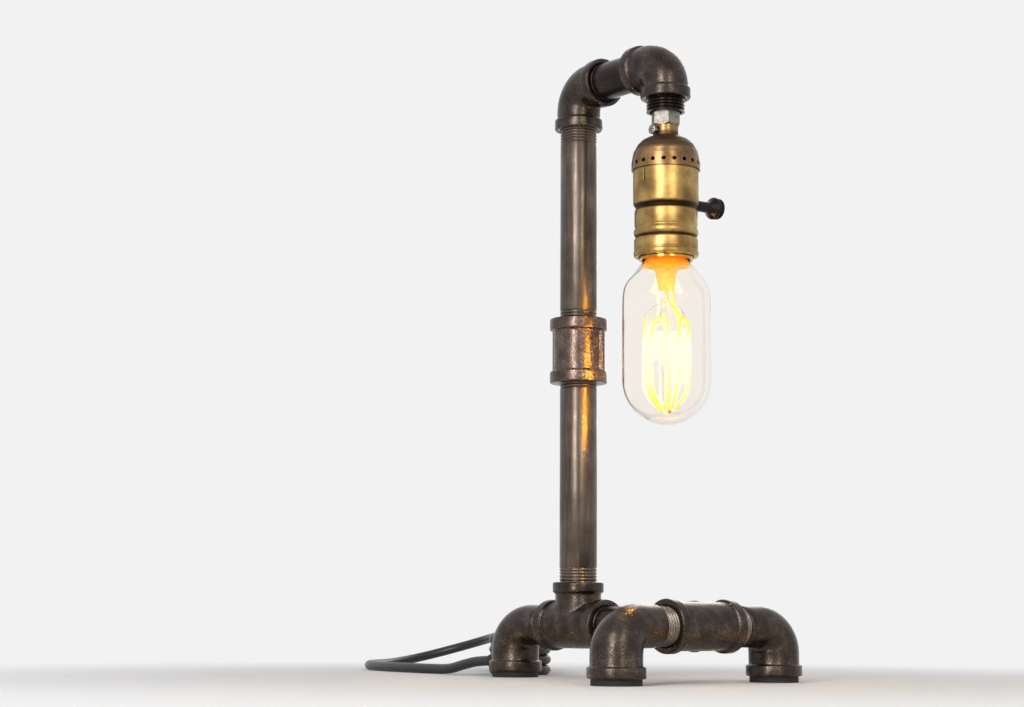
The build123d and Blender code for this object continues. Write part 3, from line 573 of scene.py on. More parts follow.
# %% [markdown]
# ## Working by hand
# Most fittings are round tubes, so they are drawn the way a potter coils a
# pot: one circle is the start, and each next ring is extruded from the last,
# then moved and scaled. A bend is the same ring, carried about the bend's
# centre in small steps. Square things start as a bar instead. Every piece ends
# with its doubles merged and its faces turned outwards.

# %% Rings and bends
def take(*pieces):
    """Leave only these pieces selected, the first one active."""
    if bpy.context.object and bpy.context.object.mode != "OBJECT":
        bpy.ops.object.mode_set(mode="OBJECT")
    bpy.ops.object.select_all(action="DESELECT")
    for piece in pieces:
        piece.select_set(True)
    if pieces:
        bpy.context.view_layer.objects.active = pieces[0]


def start_ring(name, centre, along, radius, sides=64):
    """First ring of a tube, in edit mode and selected."""
    take()
    turn = Vector((0, 0, 1)).rotation_difference(Vector(along)).to_euler()
    bpy.ops.mesh.primitive_circle_add(
        vertices=sides, radius=radius * MM, location=Vector(centre) * MM, rotation=turn)
    bpy.ops.object.transform_apply(location=True, rotation=True, scale=True)
    piece = bpy.context.active_object
    piece.name = name
    bpy.ops.object.mode_set(mode="EDIT")
    bpy.ops.mesh.select_mode(type="VERT")
    bpy.ops.mesh.select_all(action="SELECT")
    return piece


def extrude_rings(origin, along, stations):
    """Extrude the selected ring through (radius, distance) stations along an axis."""
    origin, along = Vector(origin), Vector(along)
    for (radius, place), (next_radius, next_place) in zip(stations, stations[1:]):
        step = along * (next_place - place) * MM
        bpy.ops.mesh.extrude_region_move(TRANSFORM_OT_translate={"value": step})
        ratio = next_radius / radius
        centre = (origin + along * next_place) * MM
        bpy.ops.transform.resize(value=(ratio, ratio, ratio), center_override=centre)


def bend_ring(bend, radii):
    """Carry the selected ring from straight down round to +X, through these radii."""
    centre = Vector((bend, 0, -bend))
    step = math.radians(90) / (len(radii) - 1)
    for i in range(1, len(radii)):
        bpy.ops.mesh.extrude_region_move()
        bpy.ops.transform.rotate(value=-step, orient_axis="Y", center_override=centre * MM)
        ratio = radii[i] / radii[i - 1]
        middle = centre + bend * Vector((-math.cos(i * step), 0, math.sin(i * step)))
        bpy.ops.transform.resize(value=(ratio, ratio, ratio), center_override=middle * MM)


def start_bar(name, size):
    """Bar of a size in mm round the origin, in edit mode and selected."""
    take()
    bpy.ops.mesh.primitive_cube_add(size=1, location=(0, 0, 0))
    bar = bpy.context.active_object
    bar.name = name
    bpy.ops.object.mode_set(mode="EDIT")
    bpy.ops.mesh.select_all(action="SELECT")
    bpy.ops.transform.resize(value=[side * MM for side in size])
    return bar

# %% From edit mode to a closed, shaded piece
def finish_by_hand(piece):
    """Merge doubles, close open rings, turn faces outwards and leave edit mode."""
    bpy.ops.mesh.select_all(action="SELECT")
    bpy.ops.mesh.remove_doubles(threshold=0.002 * MM)
    bpy.ops.mesh.select_all(action="DESELECT")
    bpy.ops.mesh.select_mode(type="EDGE")
    bpy.ops.mesh.select_non_manifold()
    bpy.ops.mesh.fill_holes(sides=0)
    bpy.ops.mesh.select_all(action="SELECT")
    bpy.ops.mesh.normals_make_consistent(inside=False)
    bpy.ops.mesh.select_mode(type="VERT")
    bpy.ops.object.mode_set(mode="OBJECT")


def smooth(piece, angle):
    """Smooth shading, except over edges sharper than an angle."""
    take(piece)
    bpy.ops.object.shade_smooth_by_angle(angle=math.radians(angle))


def turned(name, origin, along, rings, sides=64, angle=50):
    """Closed piece turned to (radius, distance) rings on an axis through origin."""
    radius, place = rings[0]
    piece = start_ring(name, Vector(origin) + Vector(along) * place, along, radius, sides)
    extrude_rings(origin, along, rings)
    finish_by_hand(piece)
    smooth(piece, angle)
    return piece

# %% Modifiers, copies and places
def apply_modifier(piece, kind, **settings):
    """Add a modifier with its settings and apply it."""
    take(piece)
    modifier = piece.modifiers.new(kind.lower(), kind)
    for name, value in settings.items():
        setattr(modifier, name, value)
    bpy.ops.object.modifier_apply(modifier=modifier.name)


def join(name, *pieces):
    """Join pieces into the first and name it."""
    take(*pieces)
    bpy.ops.object.join()
    pieces[0].name = name
    return pieces[0]


def copy_of(piece, name):
    """Copy a piece with a mesh of its own."""
    twin = piece.copy()
    twin.data = piece.data.copy()
    twin.name = name
    bpy.context.scene.collection.objects.link(twin)
    return twin


def settle(piece, place=(0, 0, 0), degrees=0, about=(0, 0, 0), axis="Z"):
    """Move a piece to its place in mm, turn it about a point and apply both."""
    take(piece)
    turn = Matrix.Rotation(math.radians(degrees), 4, axis)
    about = Matrix.Translation(Vector(about) * MM)
    piece.matrix_world = about @ turn @ about.inverted() @ Matrix.Translation(Vector(place) * MM)
    bpy.ops.object.transform_apply(location=True, rotation=True, scale=True)
    return piece

# %% Dressing a piece
BODY_OF = {
    node: body
    for body, nodes in frame["record"]["behaviour"]["bodies"].items() for node in nodes}


def dress(piece, node, finish):
    """Give a piece its finish, and let it ride with a CAD node's body."""
    piece.data.materials.clear()
    piece.data.materials.append(FINISHES[finish])
    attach(piece, BODY_OF[node])
    print(piece.name, [round(side / MM, 1) for side in piece.dimensions], "mm")


def stand_for(piece, node, finish):
    """Dress a piece and show it instead of its CAD node."""
    dress(piece, node, finish)
    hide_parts(node)


# %% [markdown]
# ## Socket shell and switch knob
# The shell is spun over a chuck: its grooves stiffen the thin brass, lock the
# liner inside and part the plain upper wall from the screw end. The rim is
# rolled in, so that it can't cut. A short slot under the cap takes the tongue
# that locks the two together; the slot is a thin black block on the skin,
# painted shade. The knob is turned phenolic, waisted behind a round bead, so
# that a finger and thumb can turn it.

# %% Socket shell
SOCKET = Vector((-4.004, -56.395, 0))
ARM_TURN = -3.0
UP = (0, 0, 1)


def from_socket(angle, radius, height):
    """Point in mm at an angle in degrees and a radius round the socket's axis."""
    turn = math.radians(angle)
    return SOCKET + Vector((radius * math.cos(turn), radius * math.sin(turn), height))


# From the inner top edge, down inside and up outside.
SHELL_RINGS = [
    (17.55, 281.8), (17.55, 261.0), (16.45, 258.6), (16.45, 241.4), (16.45, 232.7),
    (15.6, 232.2), (15.2, 231.8), (15.2, 231.2), (15.6, 230.85), (16.9, 230.8),
    (17.5, 231.0), (17.85, 231.6), (17.9, 233.0), (17.8, 233.7), (17.45, 234.2),
    (17.35, 234.5), (17.55, 234.9), (17.6, 235.6), (17.6, 239.9), (17.5, 240.4),
    (17.1, 240.9), (16.75, 241.3), (16.7, 241.7), (16.9, 242.1), (17.45, 242.8),
    (17.8, 243.8), (17.85, 244.6), (17.7, 245.4), (17.35, 246.2), (17.0, 246.8),
    (16.95, 247.2), (17.15, 247.7), (17.35, 248.2), (17.35, 256.0), (17.2, 256.6),
    (16.8, 257.2), (16.65, 257.8), (16.7, 258.4), (17.1, 259.1), (17.7, 259.8),
    (18.0, 260.4), (18.07, 261.2), (18.07, 281.8), (17.55, 281.8)]
stand_for(turned("spun_shell", SOCKET, UP, SHELL_RINGS, 96), "socket_shell", "shell_brass")

# %% Locking slot
def block(name, size, place, bevel, degrees=0):
    """Block of a size in mm, turned about Z at a place, with every edge rounded."""
    piece = start_bar(name, size)
    bpy.ops.mesh.bevel(offset=bevel * MM, segments=3)
    bpy.ops.object.mode_set(mode="OBJECT")
    settle(piece, (0, 0, 0), degrees)
    settle(piece, place)
    smooth(piece, 40)
    return piece


LOCK = (
    ("locking_tongue", (0.5, 0.9, 7.4), -177, 18.1, 274.6, 0.2, "bright_brass"),
    # The slot is a thin black block laid on the shell: painted shade where the open slot is dark.
    ("locking_slot", (0.36, 0.7, 7.0), -174.6, 18.05, 274.4, 0.1, "black_glass"))
for name, size, angle, radius, height, bevel, finish in LOCK:
    piece = block(name, size, from_socket(angle, radius, height), bevel, angle)
    dress(piece, "socket_shell", finish)

# %% Switch knob
KNOB_HEIGHT = 262.5
switch_axis = (
    SOCKET + Vector((0, 0, KNOB_HEIGHT)),
    Vector((math.cos(math.radians(ARM_TURN)), math.sin(math.radians(ARM_TURN)), 0)))
knob = turned("turned_knob", *switch_axis, [
    (2.1, 18.8), (3.0, 18.8), (3.1, 19.2), (3.05, 26.0), (3.1, 30.0), (3.4, 31.4),
    (4.2, 32.6), (5.3, 33.5), (6.0, 34.3), (6.25, 35.0), (6.2, 35.7), (5.8, 36.2),
    (5.1, 36.5), (5.0, 36.8), (5.2, 37.0), (5.8, 37.3), (6.0, 37.9), (5.85, 38.6),
    (5.2, 39.1), (3.8, 39.4), (0.5, 39.5)], 48, 40)
stand_for(knob, "switch_knob", "phenolic")
collar = turned("spindle_collar", *switch_axis, [
    (3.3, 17.3), (4.3, 17.3), (4.35, 18.3), (4.1, 18.9), (3.6, 19.2), (3.3, 19.0),
    (3.3, 17.3)], 48, 40)
dress(collar, "socket_body_lower", "phenolic")

# %% [markdown]
# ## Castings
# Elbows, tees and the coupling are cast in sand and tumbled, so nothing on
# them is sharp: a raised band reinforces each mouth, and runs into the body
# in a small hollow. An elbow is one tube, and the male thread of a foot is a
# piece of its own, cut bright. A tee and the ribbed coupling are built of
# closed tubes, which a voxel remesh fuses into one skin, and a few passes of
# smoothing round off the crotch like sand does.

# %% Skin of a casting
VOXEL = 0.42


def fuse(name, *tubes):
    """Fuse closed tubes into one soft cast skin."""
    skin = join(name, *tubes)
    apply_modifier(skin, "REMESH", mode="VOXEL", voxel_size=VOXEL * MM)
    apply_modifier(skin, "SMOOTH", factor=0.5, iterations=3)
    smooth(skin, 60)
    print(name, len(skin.data.polygons), "faces")
    return skin

# %% Mouth of a fitting
PIPE = 10.65
THREAD_BORE = 10.7
THREAD_PITCH = 1.814
RECESS = 12.5
LIP = 0.7


def mouth(reach, band, band_radius, body_radius):
    """Stations from inside a mouth, over its banded rim, back to the body."""
    back = reach - band
    return [
        (THREAD_BORE, reach - RECESS), (THREAD_BORE, reach - LIP), (THREAD_BORE + 0.6, reach),
        (band_radius - 0.9, reach), (band_radius - 0.35, reach - 0.15),
        (band_radius - 0.05, reach - 0.6), (band_radius, reach - 1.2),
        (band_radius, back + 0.9), (band_radius - 0.1, back + 0.35),
        (band_radius - 0.45, back + 0.02), (body_radius + 0.45, back - 0.1),
        (body_radius + 0.1, back - 0.4), (body_radius, back - 1.2)]


def open_both_ends(rim):
    """Stations of a straight body, from one mouth to its mirror image."""
    return rim + [(radius, -place) for radius, place in rim[::-1]]

# %% Street elbow of a foot
LEVEL = 30.2
RISER = Vector((0, 20, 0))
REAR = Vector((0, 75, 0))
FRONT = Vector((0, -75, 0))
FRONT_SPREAD = 58.8
CENTRE = (0, 0, 0)
RIGHT = (1, 0, 0)
DOWN = (0, 0, -1)
BEND_STEPS = 18
FOOT_DROP = 26.8
FOOT_BAND = (6.0, 15.4)
FOOT_RADIUS = 13.8
FOOT_ARM = 11.5
FOOT_BEND = 14.8
FOOT_THREAD_START = 27.6
FOOT_REACH = 44.0
FOOT_BORE = 8.0


def foot_thread():
    """Male thread along +X: a closed tube with one ring-shaped groove per pitch."""
    start = FOOT_THREAD_START - 0.2
    inside = FOOT_THREAD_START - 3
    count = int((FOOT_REACH - start) / THREAD_PITCH)
    root = PIPE - 0.8
    rings = [(FOOT_BORE, inside), (root, inside), (root, start)]
    for i in range(count):
        place = start + i * THREAD_PITCH
        rings += [
            (PIPE - 0.2, place + 0.5), (PIPE, place + 0.75),
            (PIPE, place + 1.06), (PIPE - 0.2, place + 1.3), (root, place + THREAD_PITCH)]
    rings += [(FOOT_BORE, start + count * THREAD_PITCH + 0.3)]
    return turned("foot_thread", CENTRE, RIGHT, rings)


def bent(name, down, bend, radii, side):
    """Elbow of one tube: straight down, round a bend of these radii, and along +X."""
    radius, place = down[0]
    tube = start_ring(name, (0, 0, -place), DOWN, radius, 80)
    extrude_rings(CENTRE, DOWN, down)
    bend_ring(bend, radii)
    extrude_rings(CENTRE, RIGHT, side)
    finish_by_hand(tube)
    smooth(tube, 60)
    return tube


def foot_elbow():
    """Banded mouth downwards, a narrowing bend, and a slim arm for the thread."""
    down = mouth(FOOT_DROP, *FOOT_BAND, FOOT_RADIUS) + [(FOOT_RADIUS, FOOT_BEND)]
    radii = [
        FOOT_RADIUS + (FOOT_ARM - FOOT_RADIUS) * ease(i / BEND_STEPS, 0.1, 1)
        for i in range(BEND_STEPS + 1)]
    arm = [
        (FOOT_ARM, FOOT_BEND), (11.4, 19.0), (11.3, 24.0), (11.2, 26.4), (10.9, 27.1),
        (10.2, 27.5), (9.4, FOOT_THREAD_START)]
    return bent("foot", down, FOOT_BEND, radii, arm)


elbow, thread = foot_elbow(), foot_thread()
FEET = {
    "front_left_foot": ((-FRONT_SPREAD, -75, LEVEL), 0, CENTRE),
    "front_right_foot": ((-FRONT_SPREAD, -75, LEVEL), 180, FRONT),
    "rear_foot": ((0, 75, LEVEL), -90, REAR)}
for foot, where in FEET.items():
    node = foot + "_elbow"
    stand_for(settle(copy_of(elbow, foot + "_casting"), *where), node, "iron")
    dress(settle(copy_of(thread, foot + "_thread"), *where), node, "thread")
for piece in (elbow, thread):
    bpy.data.objects.remove(piece)

# %% Tees
FACE_REACH = 24.2
TEE_RADIUS = 13.0
TEE_BAND = (5.8, 14.5)


def tee():
    """Run along X and a branch up, each a closed tube, fused at the crotch."""
    rim = mouth(FACE_REACH, *TEE_BAND, TEE_RADIUS)
    run = turned("run", CENTRE, RIGHT, open_both_ends(rim))
    branch = turned("branch", CENTRE, UP, rim + [(TEE_RADIUS, 8), (TEE_RADIUS + 0.8, 2)])
    return fuse("cross_tee_casting", run, branch)


cross_tee = tee()
riser_tee = copy_of(cross_tee, "riser_tee_casting")
settle(riser_tee, (0, 20, LEVEL), 90, RISER)
settle(cross_tee, degrees=-90, axis="X")
settle(cross_tee, (0, -75, LEVEL))
stand_for(riser_tee, "riser_tee", "iron")
stand_for(cross_tee, "cross_tee", "iron")

# %% Elbows of the arm
ELBOW_RADIUS = 12.6
ELBOW_BEND = 13.6
ELBOW_BAND = (6.1, 13.95)
FRONT_DROP = 20.6
ARM_HEIGHT = 340.3
ARM_REACH = 76.5


def arm_elbow(name, low_reach):
    """Banded elbow with one mouth down and one along +X; a short one loses a station."""
    down, side = (mouth(reach, *ELBOW_BAND, ELBOW_RADIUS) for reach in (low_reach, FACE_REACH))
    if down[-1][1] < ELBOW_BEND:
        down.pop()
    start_of_bend = [(ELBOW_RADIUS, ELBOW_BEND)]
    radii = [ELBOW_RADIUS] * (BEND_STEPS + 1)
    return bent(name, down + start_of_bend, ELBOW_BEND, radii, start_of_bend + side[::-1])


rear_elbow = arm_elbow("arm_rear_casting", FACE_REACH)
settle(rear_elbow, (0, 20, ARM_HEIGHT), -90 + ARM_TURN, RISER)
front_elbow = arm_elbow("arm_front_casting", FRONT_DROP)
settle(front_elbow, (-ARM_REACH, 20, ARM_HEIGHT), 90 + ARM_TURN, RISER)
stand_for(rear_elbow, "arm_rear_elbow", "iron")
stand_for(front_elbow, "arm_front_elbow", "iron")

# %% Coupling
HALF_COUPLING = 18.7
COUPLING_FOOT = 167.7
COUPLING_BAND = (6.8, 16.5)
COUPLING_RADIUS = 14.35
RIB_HEADING = -68


def coupling():
    """Banded sleeve with two straight ribs for the wrench."""
    rim = mouth(HALF_COUPLING, *COUPLING_BAND, COUPLING_RADIUS)
    tube = turned("tube", CENTRE, UP, open_both_ends(rim))
    ribs = block("ribs", (32.4, 3.6, 26), CENTRE, 0.8, RIB_HEADING)
    skin = fuse("riser_coupling_casting", tube, ribs)
    return settle(skin, (0, 20, COUPLING_FOOT + HALF_COUPLING))


stand_for(coupling(), "riser_coupling", "paler_iron")

# %% [markdown]
# ## Upright pipes
# Two lengths of pipe carry the arm. Their ends are cut with a shallow tapered
# thread, and because a fitting only takes up part of it, a few turns show
# above and below each one. Each pipe is one outline of rings, up the outside
# and back down the bore.

# %% Upright pipes
PIPE_BORE = 7.9


def turns(length):
    """Middles of the thread's grooves over a length from a pipe's end."""
    return [THREAD_PITCH * (i + 0.5) for i in range(int(length / THREAD_PITCH))]


def pipe(name, low, high, low_thread, high_thread):
    """Upright pipe with shallow ring-shaped threads at both ends."""
    length = high - low
    places = turns(low_thread) + [length - place for place in turns(high_thread)[::-1]]
    rings = [(PIPE_BORE, 0), (PIPE - 0.6, 0)]
    for place in places:
        rings += [
            (PIPE, place - 0.72), (PIPE - 0.12, place - 0.45), (PIPE - 0.5, place - 0.12),
            (PIPE - 0.5, place + 0.12), (PIPE - 0.12, place + 0.45), (PIPE, place + 0.72)]
    rings += [(PIPE - 0.6, length), (PIPE_BORE, length), (PIPE_BORE, 0)]
    return turned(name, (0, 20, low), UP, rings, 80)


PIPES = {
    "lower_riser": (41.4, 180.7, 23.0, 17.0),
    "upper_riser": (192.1, 329.1, 18.4, 22.6)}
for name, ends in PIPES.items():
    stand_for(pipe(name + "_steel", *ends), name + "_pipe", "pipe_upright")

# %% [markdown]
# ## Bulb
# The envelope is blown in a mould: a straight tube with a round end and a soft
# shoulder that runs up into the neck. Both walls are drawn, because the light
# bends at each. Inside, a flared stem seals the wires, and a long glass rod
# carries two spiders of fine wire, over which one strand of carbon wire is laced
# up and down like a cage. The rod is clear, so it is a piece apart from the lit
# stem. The envelope and the rod throw no shadow, as clear glass throws hardly any.

# %% Glass envelope
GLASS_WALL = 0.7
GLASS_RADIUS = 24.2
BOWL_LEVEL = 162.7
BOWL_STEPS = 14
SHORT_OF_POLE = math.radians(88.5)
GLASS_SIDE = [
    (11.9, 237.2), (12.0, 231.0), (12.6, 229.2), (13.6, 227.2), (15.2, 225.0), (17.2, 222.6),
    (19.3, 220.2), (21.2, 217.8), (22.7, 215.3), (23.6, 212.6), (24.05, 209.0), (24.2, 204.0),
    (24.2, 190.0), (24.2, 176.0), (GLASS_RADIUS, BOWL_LEVEL)]


def bowl(radius):
    """Rings of the rounded end, from its side to just short of its pole."""
    angles = [SHORT_OF_POLE * i / BOWL_STEPS for i in range(1, BOWL_STEPS + 1)]
    return [(radius * math.cos(a), BOWL_LEVEL - radius * math.sin(a)) for a in angles]


def envelope():
    """Glass from the inner pole up to the neck, over its edge and down outside."""
    inner = [(radius - GLASS_WALL, place) for radius, place in GLASS_SIDE]
    inner += bowl(GLASS_RADIUS - GLASS_WALL)
    rings = inner[::-1] + GLASS_SIDE + bowl(GLASS_RADIUS)
    return turned("bulb_envelope", SOCKET, UP, rings, 72, 60)


glass = envelope()
glass.visible_shadow = False
stand_for(glass, "bulb_glass", "glass")

# %% Stem and rod
PRESS = ((216.0, 1.05, 0.72), (213.0, 1.0, 0.8), (211.6, 0.8, 0.9))
PRESS_STEP = 2.0


def stem():
    """Seal in the neck and flare, then a press pinched wide and thin."""
    flare = [
        (10.6, 231.8), (11.1, 231.4), (11.15, 230.8), (11.7, 229.1), (12.7, 227.2),
        (13.9, 225.6), (13.2, 225.7), (11.6, 227.0), (9.4, 227.2), (7.6, 225.2),
        (6.3, 222.8), (5.6, 220.6), (5.4, 218.0)]
    radius, place = flare[0]
    piece = start_ring("stem_of_bulb", SOCKET + Vector((0, 0, place)), UP, radius, 48)
    extrude_rings(SOCKET, UP, flare)
    for height, wide, thin in PRESS:
        bpy.ops.mesh.extrude_region_move()
        here = (SOCKET + Vector((0, 0, height))) * MM
        bpy.ops.transform.translate(value=(0, 0, -PRESS_STEP * MM))
        bpy.ops.transform.resize(value=(wide, thin, 1), center_override=here)
    finish_by_hand(piece)
    smooth(piece, 50)
    return piece


stand_for(stem(), "bulb_stem", "stem")
rod = turned("stem_rod", SOCKET, UP, [
    (0.9, 214.0), (1.6, 213.6), (1.6, 207.6), (2.5, 206.9), (2.5, 205.7), (1.6, 205.0),
    (1.6, 149.0), (2.4, 148.2), (2.6, 146.6), (2.1, 145.2), (0.9, 144.6)], 24)
rod.visible_shadow = False
dress(rod, "bulb_stem", "glass")

# %% Wires of the cage
STRANDS = 10
CAGE_TOP = 196.4
CAGE_FOOT = 146.9
CAGE_START = 12
WIRE_STEPS = 3
STRAND_RADIUS = 0.62
HOOK_RADIUS = 0.2
LEAD_RADIUS = 0.45
LEAD_SIDES = (3.2, -2.4)
LEAD_BACK = -2.0
LEAN = 0.28
CAGE_SIDE = [
    (0.0, 11.9), (0.12, 12.6), (0.35, 13.0), (0.62, 12.8), (0.8, 11.2), (0.92, 7.6), (1.0, 4.2)]


def around(radius, turn, height):
    """Point in mm at a radius and a turn, in strands, round the bulb's axis."""
    return from_socket(CAGE_START + 360 * turn / STRANDS, radius, height)


def wire(name, points, radius, sides):
    """Round wire through points in mm, turned into a mesh."""
    piece = line_of(name, points, radius, WIRE_STEPS, sides)
    take(piece)
    bpy.ops.object.convert(target="MESH")
    bpy.ops.object.mode_set(mode="EDIT")
    bpy.ops.mesh.select_all(action="SELECT")
    bpy.ops.mesh.remove_doubles(threshold=0.001 * MM)
    bpy.ops.object.mode_set(mode="OBJECT")
    bpy.ops.object.shade_smooth()
    return piece


def cage():
    """One strand laced down and up over the hooks, with its two ends at the press."""
    start = [(LEAD_SIDES[0], LEAD_BACK, 212), (3.6, -3.0, 203)]
    points = [SOCKET + Vector(point) for point in start]
    for i in range(STRANDS):
        upwards = i % 2
        for share, radius in CAGE_SIDE[::-1] if upwards else CAGE_SIDE:
            height = CAGE_TOP + (CAGE_FOOT - CAGE_TOP) * share
            lean = -LEAN * share if upwards else LEAN * share
            points.append(around(radius, i + lean, height))
    ending = [(-1.6, -4.4, 203), (LEAD_SIDES[1], LEAD_BACK, 212)]
    points += [SOCKET + Vector(point) for point in ending]
    return wire("carbon_strand", points, STRAND_RADIUS, 2)


stand_for(cage(), "filament", "filament")

# %% Hooks that hold it
def spiders():
    """Hooked wires from the rod's buttons to the turns of the strand."""
    upper = (
        (1.8, 206.3), (8.2, CAGE_TOP + 6.4), (12.4, CAGE_TOP + 0.4), (11.2, CAGE_TOP - 1.2))
    lower = ((2.0, 147.2), (3.4, 146.0), (5.0, CAGE_FOOT - 0.8), (5.2, CAGE_FOOT + 0.6))
    pieces = []
    for i in range(1, STRANDS, 2):
        for turn, side in ((i + 0.5, upper), (i - 0.36, lower)):
            points = [around(radius, turn, height) for radius, height in side]
            pieces.append(wire("hook", points, HOOK_RADIUS, 1))
    for x in LEAD_SIDES:
        points = [SOCKET + Vector((x, LEAD_BACK, z)) for z in (218, 215, 211)]
        pieces.append(wire("lead_in", points, LEAD_RADIUS, 2))
    return join("support_wires", *pieces)


stand_for(spiders(), "filament_supports", "wire")

# %% [markdown]
# ## Bush, tie and plug
# These three end the cord's story: a tapered rubber bush keeps it from
# chafing in the foot, a ratchet strap holds the spare length, and a moulded
# plug with finger ribs and a grooved sleeve takes the current from the wall.

# %% Cord bush
bush = turned("cord_bush", (0, 0, EXIT_HEIGHT), (0, 1, 0), [
    (3.15, 85.7), (4.5, 85.7), (4.55, 90.3), (5.3, 90.5), (5.5, 91.1), (5.3, 91.9),
    (4.8, 92.3), (4.5, 94.0), (4.1, 96.4), (3.8, 97.2), (3.3, GLAND_END), (3.15, 96.9),
    (3.15, 85.7)], 48)
stand_for(bush, "cord_gland", "rubber")

# %% Bars with rounded edges
def select_none(kind):
    """Deselect all, and leave edit mode so that edges or faces can be picked in code."""
    bpy.ops.mesh.select_mode(type=kind)
    bpy.ops.mesh.select_all(action="DESELECT")
    bpy.ops.object.mode_set(mode="OBJECT")


def rounded_bar(name, size, corner, segments):
    """Bar along X, in mm, with its four long edges rounded and flat ends."""
    bar = start_bar(name, size)
    select_none("EDGE")
    corners = bar.data.vertices
    for edge in bar.data.edges:
        a, b = (corners[v].co for v in edge.vertices)
        edge.select = abs(a.x - b.x) > MM
    bpy.ops.object.mode_set(mode="EDIT")
    bpy.ops.mesh.bevel(offset=corner * MM, segments=segments)
    bpy.ops.object.mode_set(mode="OBJECT")
    return bar


def pick_ends(piece, both=True):
    """Enter edit mode with the flat ends of a bar selected, or only the one at -X."""
    take(piece)
    bpy.ops.object.mode_set(mode="EDIT")
    select_none("FACE")
    for face in piece.data.polygons:
        face.select = face.normal.x < -0.9 or both and face.normal.x > 0.9
    bpy.ops.object.mode_set(mode="EDIT")

# %% Strap round the hank
def lay_along_hank(piece, along, across, height):
    """Turn a piece made along +X to the hank's heading and put it in its place."""
    settle(piece, degrees=HANK_HEADING)
    settle(piece, on_hank(along, across, height))


def strap():
    """Nylon strap round the waist of the hank, with its ratchet head and tail."""
    band = rounded_bar("hank_strap", (3.8, 25.8, 13.4), 5.2, 8)
    pick_ends(band)
    bpy.ops.mesh.delete(type="ONLY_FACE")
    bpy.ops.object.mode_set(mode="OBJECT")
    apply_modifier(band, "SOLIDIFY", thickness=1.1 * MM, offset=1.0)
    apply_modifier(band, "BEVEL", width=0.3 * MM, segments=2, limit_method="ANGLE")
    smooth(band, 40)
    head = block("head", (5.0, 5.6, 4.2), (0, 5.0, 8.6), 0.7)
    tail = block("tail", (3.4, 1.1, 8.0), (0, 5.0, 11.6), 0.3)
    return join("hank_strap", band, head, tail)


STRAP_LEVEL = 7.95
tie = strap()
lay_along_hank(tie, waist, HANK_MIDDLE, STRAP_LEVEL)
stand_for(tie, "hank_tie", "nylon")

# %% Grip of the plug
GRIP_END = 22
GRIP_TAPER = (
    (7, 1, 1), (8, 0.96, 0.98), (4, 0.86, 0.92), (2.2, 0.78, 0.84), (0.8, 0.8, 0.8))


def grip():
    """Rounded bar along +X, drawn back in (length, wide, high) steps that taper."""
    piece = rounded_bar("plug_grip", (8, 24, 14.9), 4.5, 6)
    settle(piece, (GRIP_END + 4, 0, PLUG_MIDDLE))
    pick_ends(piece, both=False)
    place = GRIP_END
    for step, wide, high in GRIP_TAPER:
        place -= step
        bpy.ops.mesh.extrude_region_move(TRANSFORM_OT_translate={"value": (-step * MM, 0, 0)})
        middle = Vector((place, 0, PLUG_MIDDLE)) * MM
        bpy.ops.transform.resize(value=(1, wide, high), center_override=middle)
    bpy.ops.object.mode_set(mode="OBJECT")
    apply_modifier(
        piece, "BEVEL", width=0.9 * MM, segments=3, limit_method="ANGLE", angle_limit=1.0)
    smooth(piece, 40)
    return piece

# %% Plug
def plug():
    """Moulded plug along +X: the grip, its finger ribs and a grooved sleeve."""
    places = [
        (7.5 + 2.6 * i, side * (11.45 + 0.08 * i), PLUG_MIDDLE)
        for i in range(5) for side in (-1, 1)]
    ribs = [block("rib", (1.3, 1.6, 8.5), place, 0.35) for place in places]
    rings = [(3.1, 1.0), (5.2, 1.0), (5.0, -1.0)]
    for i in range(4):
        place, radius = -1.2 - 1.9 * i, 4.9 - 0.25 * i
        rings += [
            (radius, place), (radius - 0.1, place - 1.1), (radius - 0.7, place - 1.3),
            (radius - 0.7, place - 1.7)]
    rings += [(3.5, -9.2), (3.1, -9.4), (3.1, 1.0)]
    sleeve = turned("sleeve", (0, 0, PLUG_MIDDLE), RIGHT, rings, 40, 40)
    return join("plug_grip", grip(), sleeve, *ribs)


plug_piece = plug()
lay_along_hank(plug_piece, PLUG_PLACE, PLUG_SIDE, TABLE_GAP)
stand_for(plug_piece, "plug_body", "vinyl")

# %% [markdown]
# ## Floor and light
# A pale floor and large soft lamps show form without hard shadows. The
# distance turns white only to the camera's eye and in reflections, so the
# floor keeps the lamp's shadow and lights the object no more than it should.

# %% Floor
FLOOR_SIDE = 30
FADE_FROM = 0.12
FADE_TO = 0.55


def white_to_the_eye(tree, lit, share=1.0):
    """White shown to camera, glossy and transmission rays instead of a lit surface."""
    path = add(tree, "ShaderNodeLightPath")
    eye = add(tree, "ShaderNodeMath", {
        0: path.outputs["Is Camera Ray"], 1: path.outputs["Is Glossy Ray"]}, operation="MAXIMUM")
    seen = add(tree, "ShaderNodeMath", {
        0: eye, 1: path.outputs["Is Transmission Ray"]}, operation="MAXIMUM")
    factor = add(tree, "ShaderNodeMath", {0: seen, 1: share}, operation="MULTIPLY")
    white = add(tree, "ShaderNodeEmission", {"Color": linear("f2f2f3"), "Strength": 1.0})
    return add(tree, "ShaderNodeMixShader", {0: factor, 1: lit, 2: white})


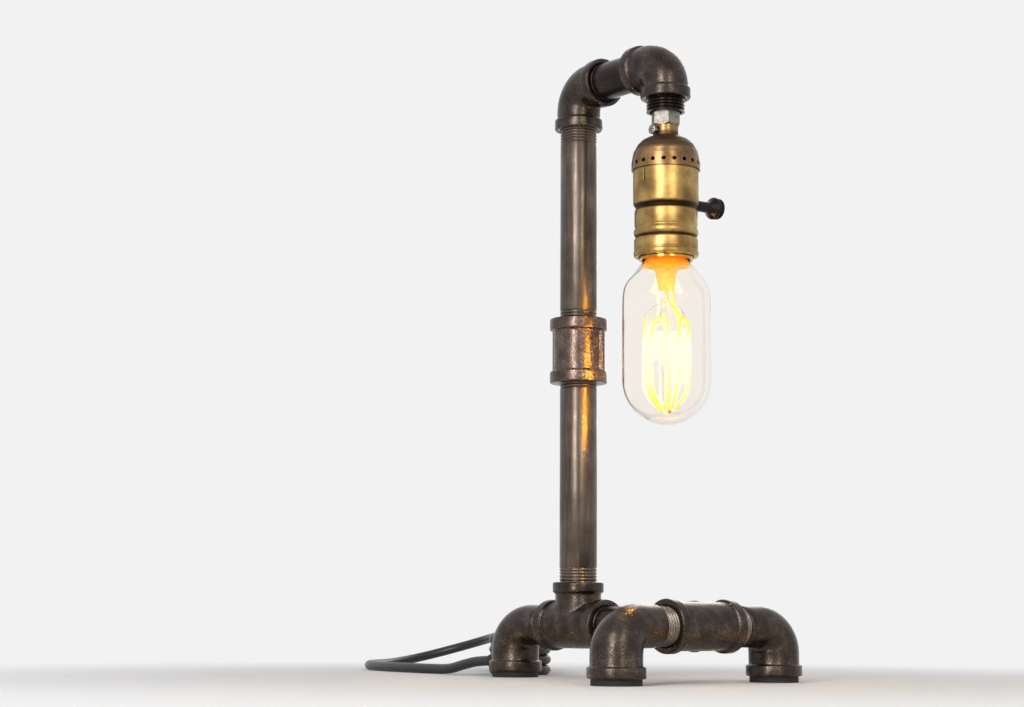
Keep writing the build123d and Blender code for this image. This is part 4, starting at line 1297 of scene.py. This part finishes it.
def floor():
    """Large pale floor that fades to white away from the lamp."""
    bpy.ops.object.select_all(action="DESELECT")
    bpy.ops.mesh.primitive_plane_add(size=FLOOR_SIDE, location=(0, 0, 0))
    plane = bpy.context.active_object
    plane.name = "floor"
    material, tree, place = new_finish("pale_floor")
    away = add(tree, "ShaderNodeVectorMath", {0: place}, operation="LENGTH")
    share = add(tree, "ShaderNodeMapRange", {
        "Value": away.outputs["Value"], "From Min": FADE_FROM, "From Max": FADE_TO},
        interpolation_type="SMOOTHSTEP")
    diffuse = add(tree, "ShaderNodeBsdfDiffuse", {"Color": linear("e8eaee")})
    shader = white_to_the_eye(tree, diffuse, share)
    add(tree, "ShaderNodeOutputMaterial", {"Surface": shader})
    plane.data.materials.append(material)
    return plane


print("floor", floor().dimensions.x, "m wide")

# %% World
def world():
    """Plain world: white to the eye, a soft grey light on the object."""
    background = bpy.data.worlds.new("studio")
    bpy.context.scene.world = background
    background.use_nodes = True
    tree = background.node_tree
    tree.nodes.clear()
    light = add(tree, "ShaderNodeBackground", {"Color": linear("e8ecf2"), "Strength": 0.4})
    add(tree, "ShaderNodeOutputWorld", {"Surface": white_to_the_eye(tree, light)})


world()

# %% [markdown]
# ## Lamps
# The key stands left of the camera, the fill right of it and the rim behind
# the lamp. Each is a tall panel, like a window, so a pipe mirrors it as one
# long line. Clear glass would mirror the panels too, as white bars across the
# lit strand, so light linking keeps all three off it.

# %% Lamps
def soft_lamp(name, place, aim, size, watts, colour):
    """Rectangular area lamp, width by height in metres, that points at a place."""
    data = bpy.data.lights.new(name, "AREA")
    data.shape = "RECTANGLE"
    data.size, data.size_y = size
    data.energy = watts
    data.color = linear(colour)[:3]
    lamp = bpy.data.objects.new(name, data)
    bpy.context.scene.collection.objects.link(lamp)
    lamp.location = place
    lamp.visible_transmission = False
    lamp.rotation_euler = (Vector(aim) - Vector(place)).to_track_quat("-Z", "Y").to_euler()
    return lamp


def keep_lamps_off(lamps, piece):
    """Exclude a piece from what the lamps light."""
    dark = bpy.data.collections.new("glass_without_lamps")
    dark.objects.link(piece)
    dark.collection_objects[0].light_linking.link_state = "EXCLUDE"
    for lamp in lamps:
        lamp.light_linking.receiver_collection = dark


lamps = [
    soft_lamp("key", (-0.97, -0.47, 0.5), (0, 0, 0.18), (0.3, 0.9), 9.5, "fff8f0"),
    soft_lamp("fill", (-0.36, -1.05, 0.5), (0, 0, 0.18), (0.26, 0.9), 3.8, "fff2cc"),
    soft_lamp("rim", (0.7, 0.5, 0.6), (0, 0, 0.2), (0.3, 0.8), 2.0, "fff4ea"),
]
keep_lamps_off(lamps, glass)
bpy.context.scene.view_settings.view_transform = "Standard"
print(len(lamps), "lamps")
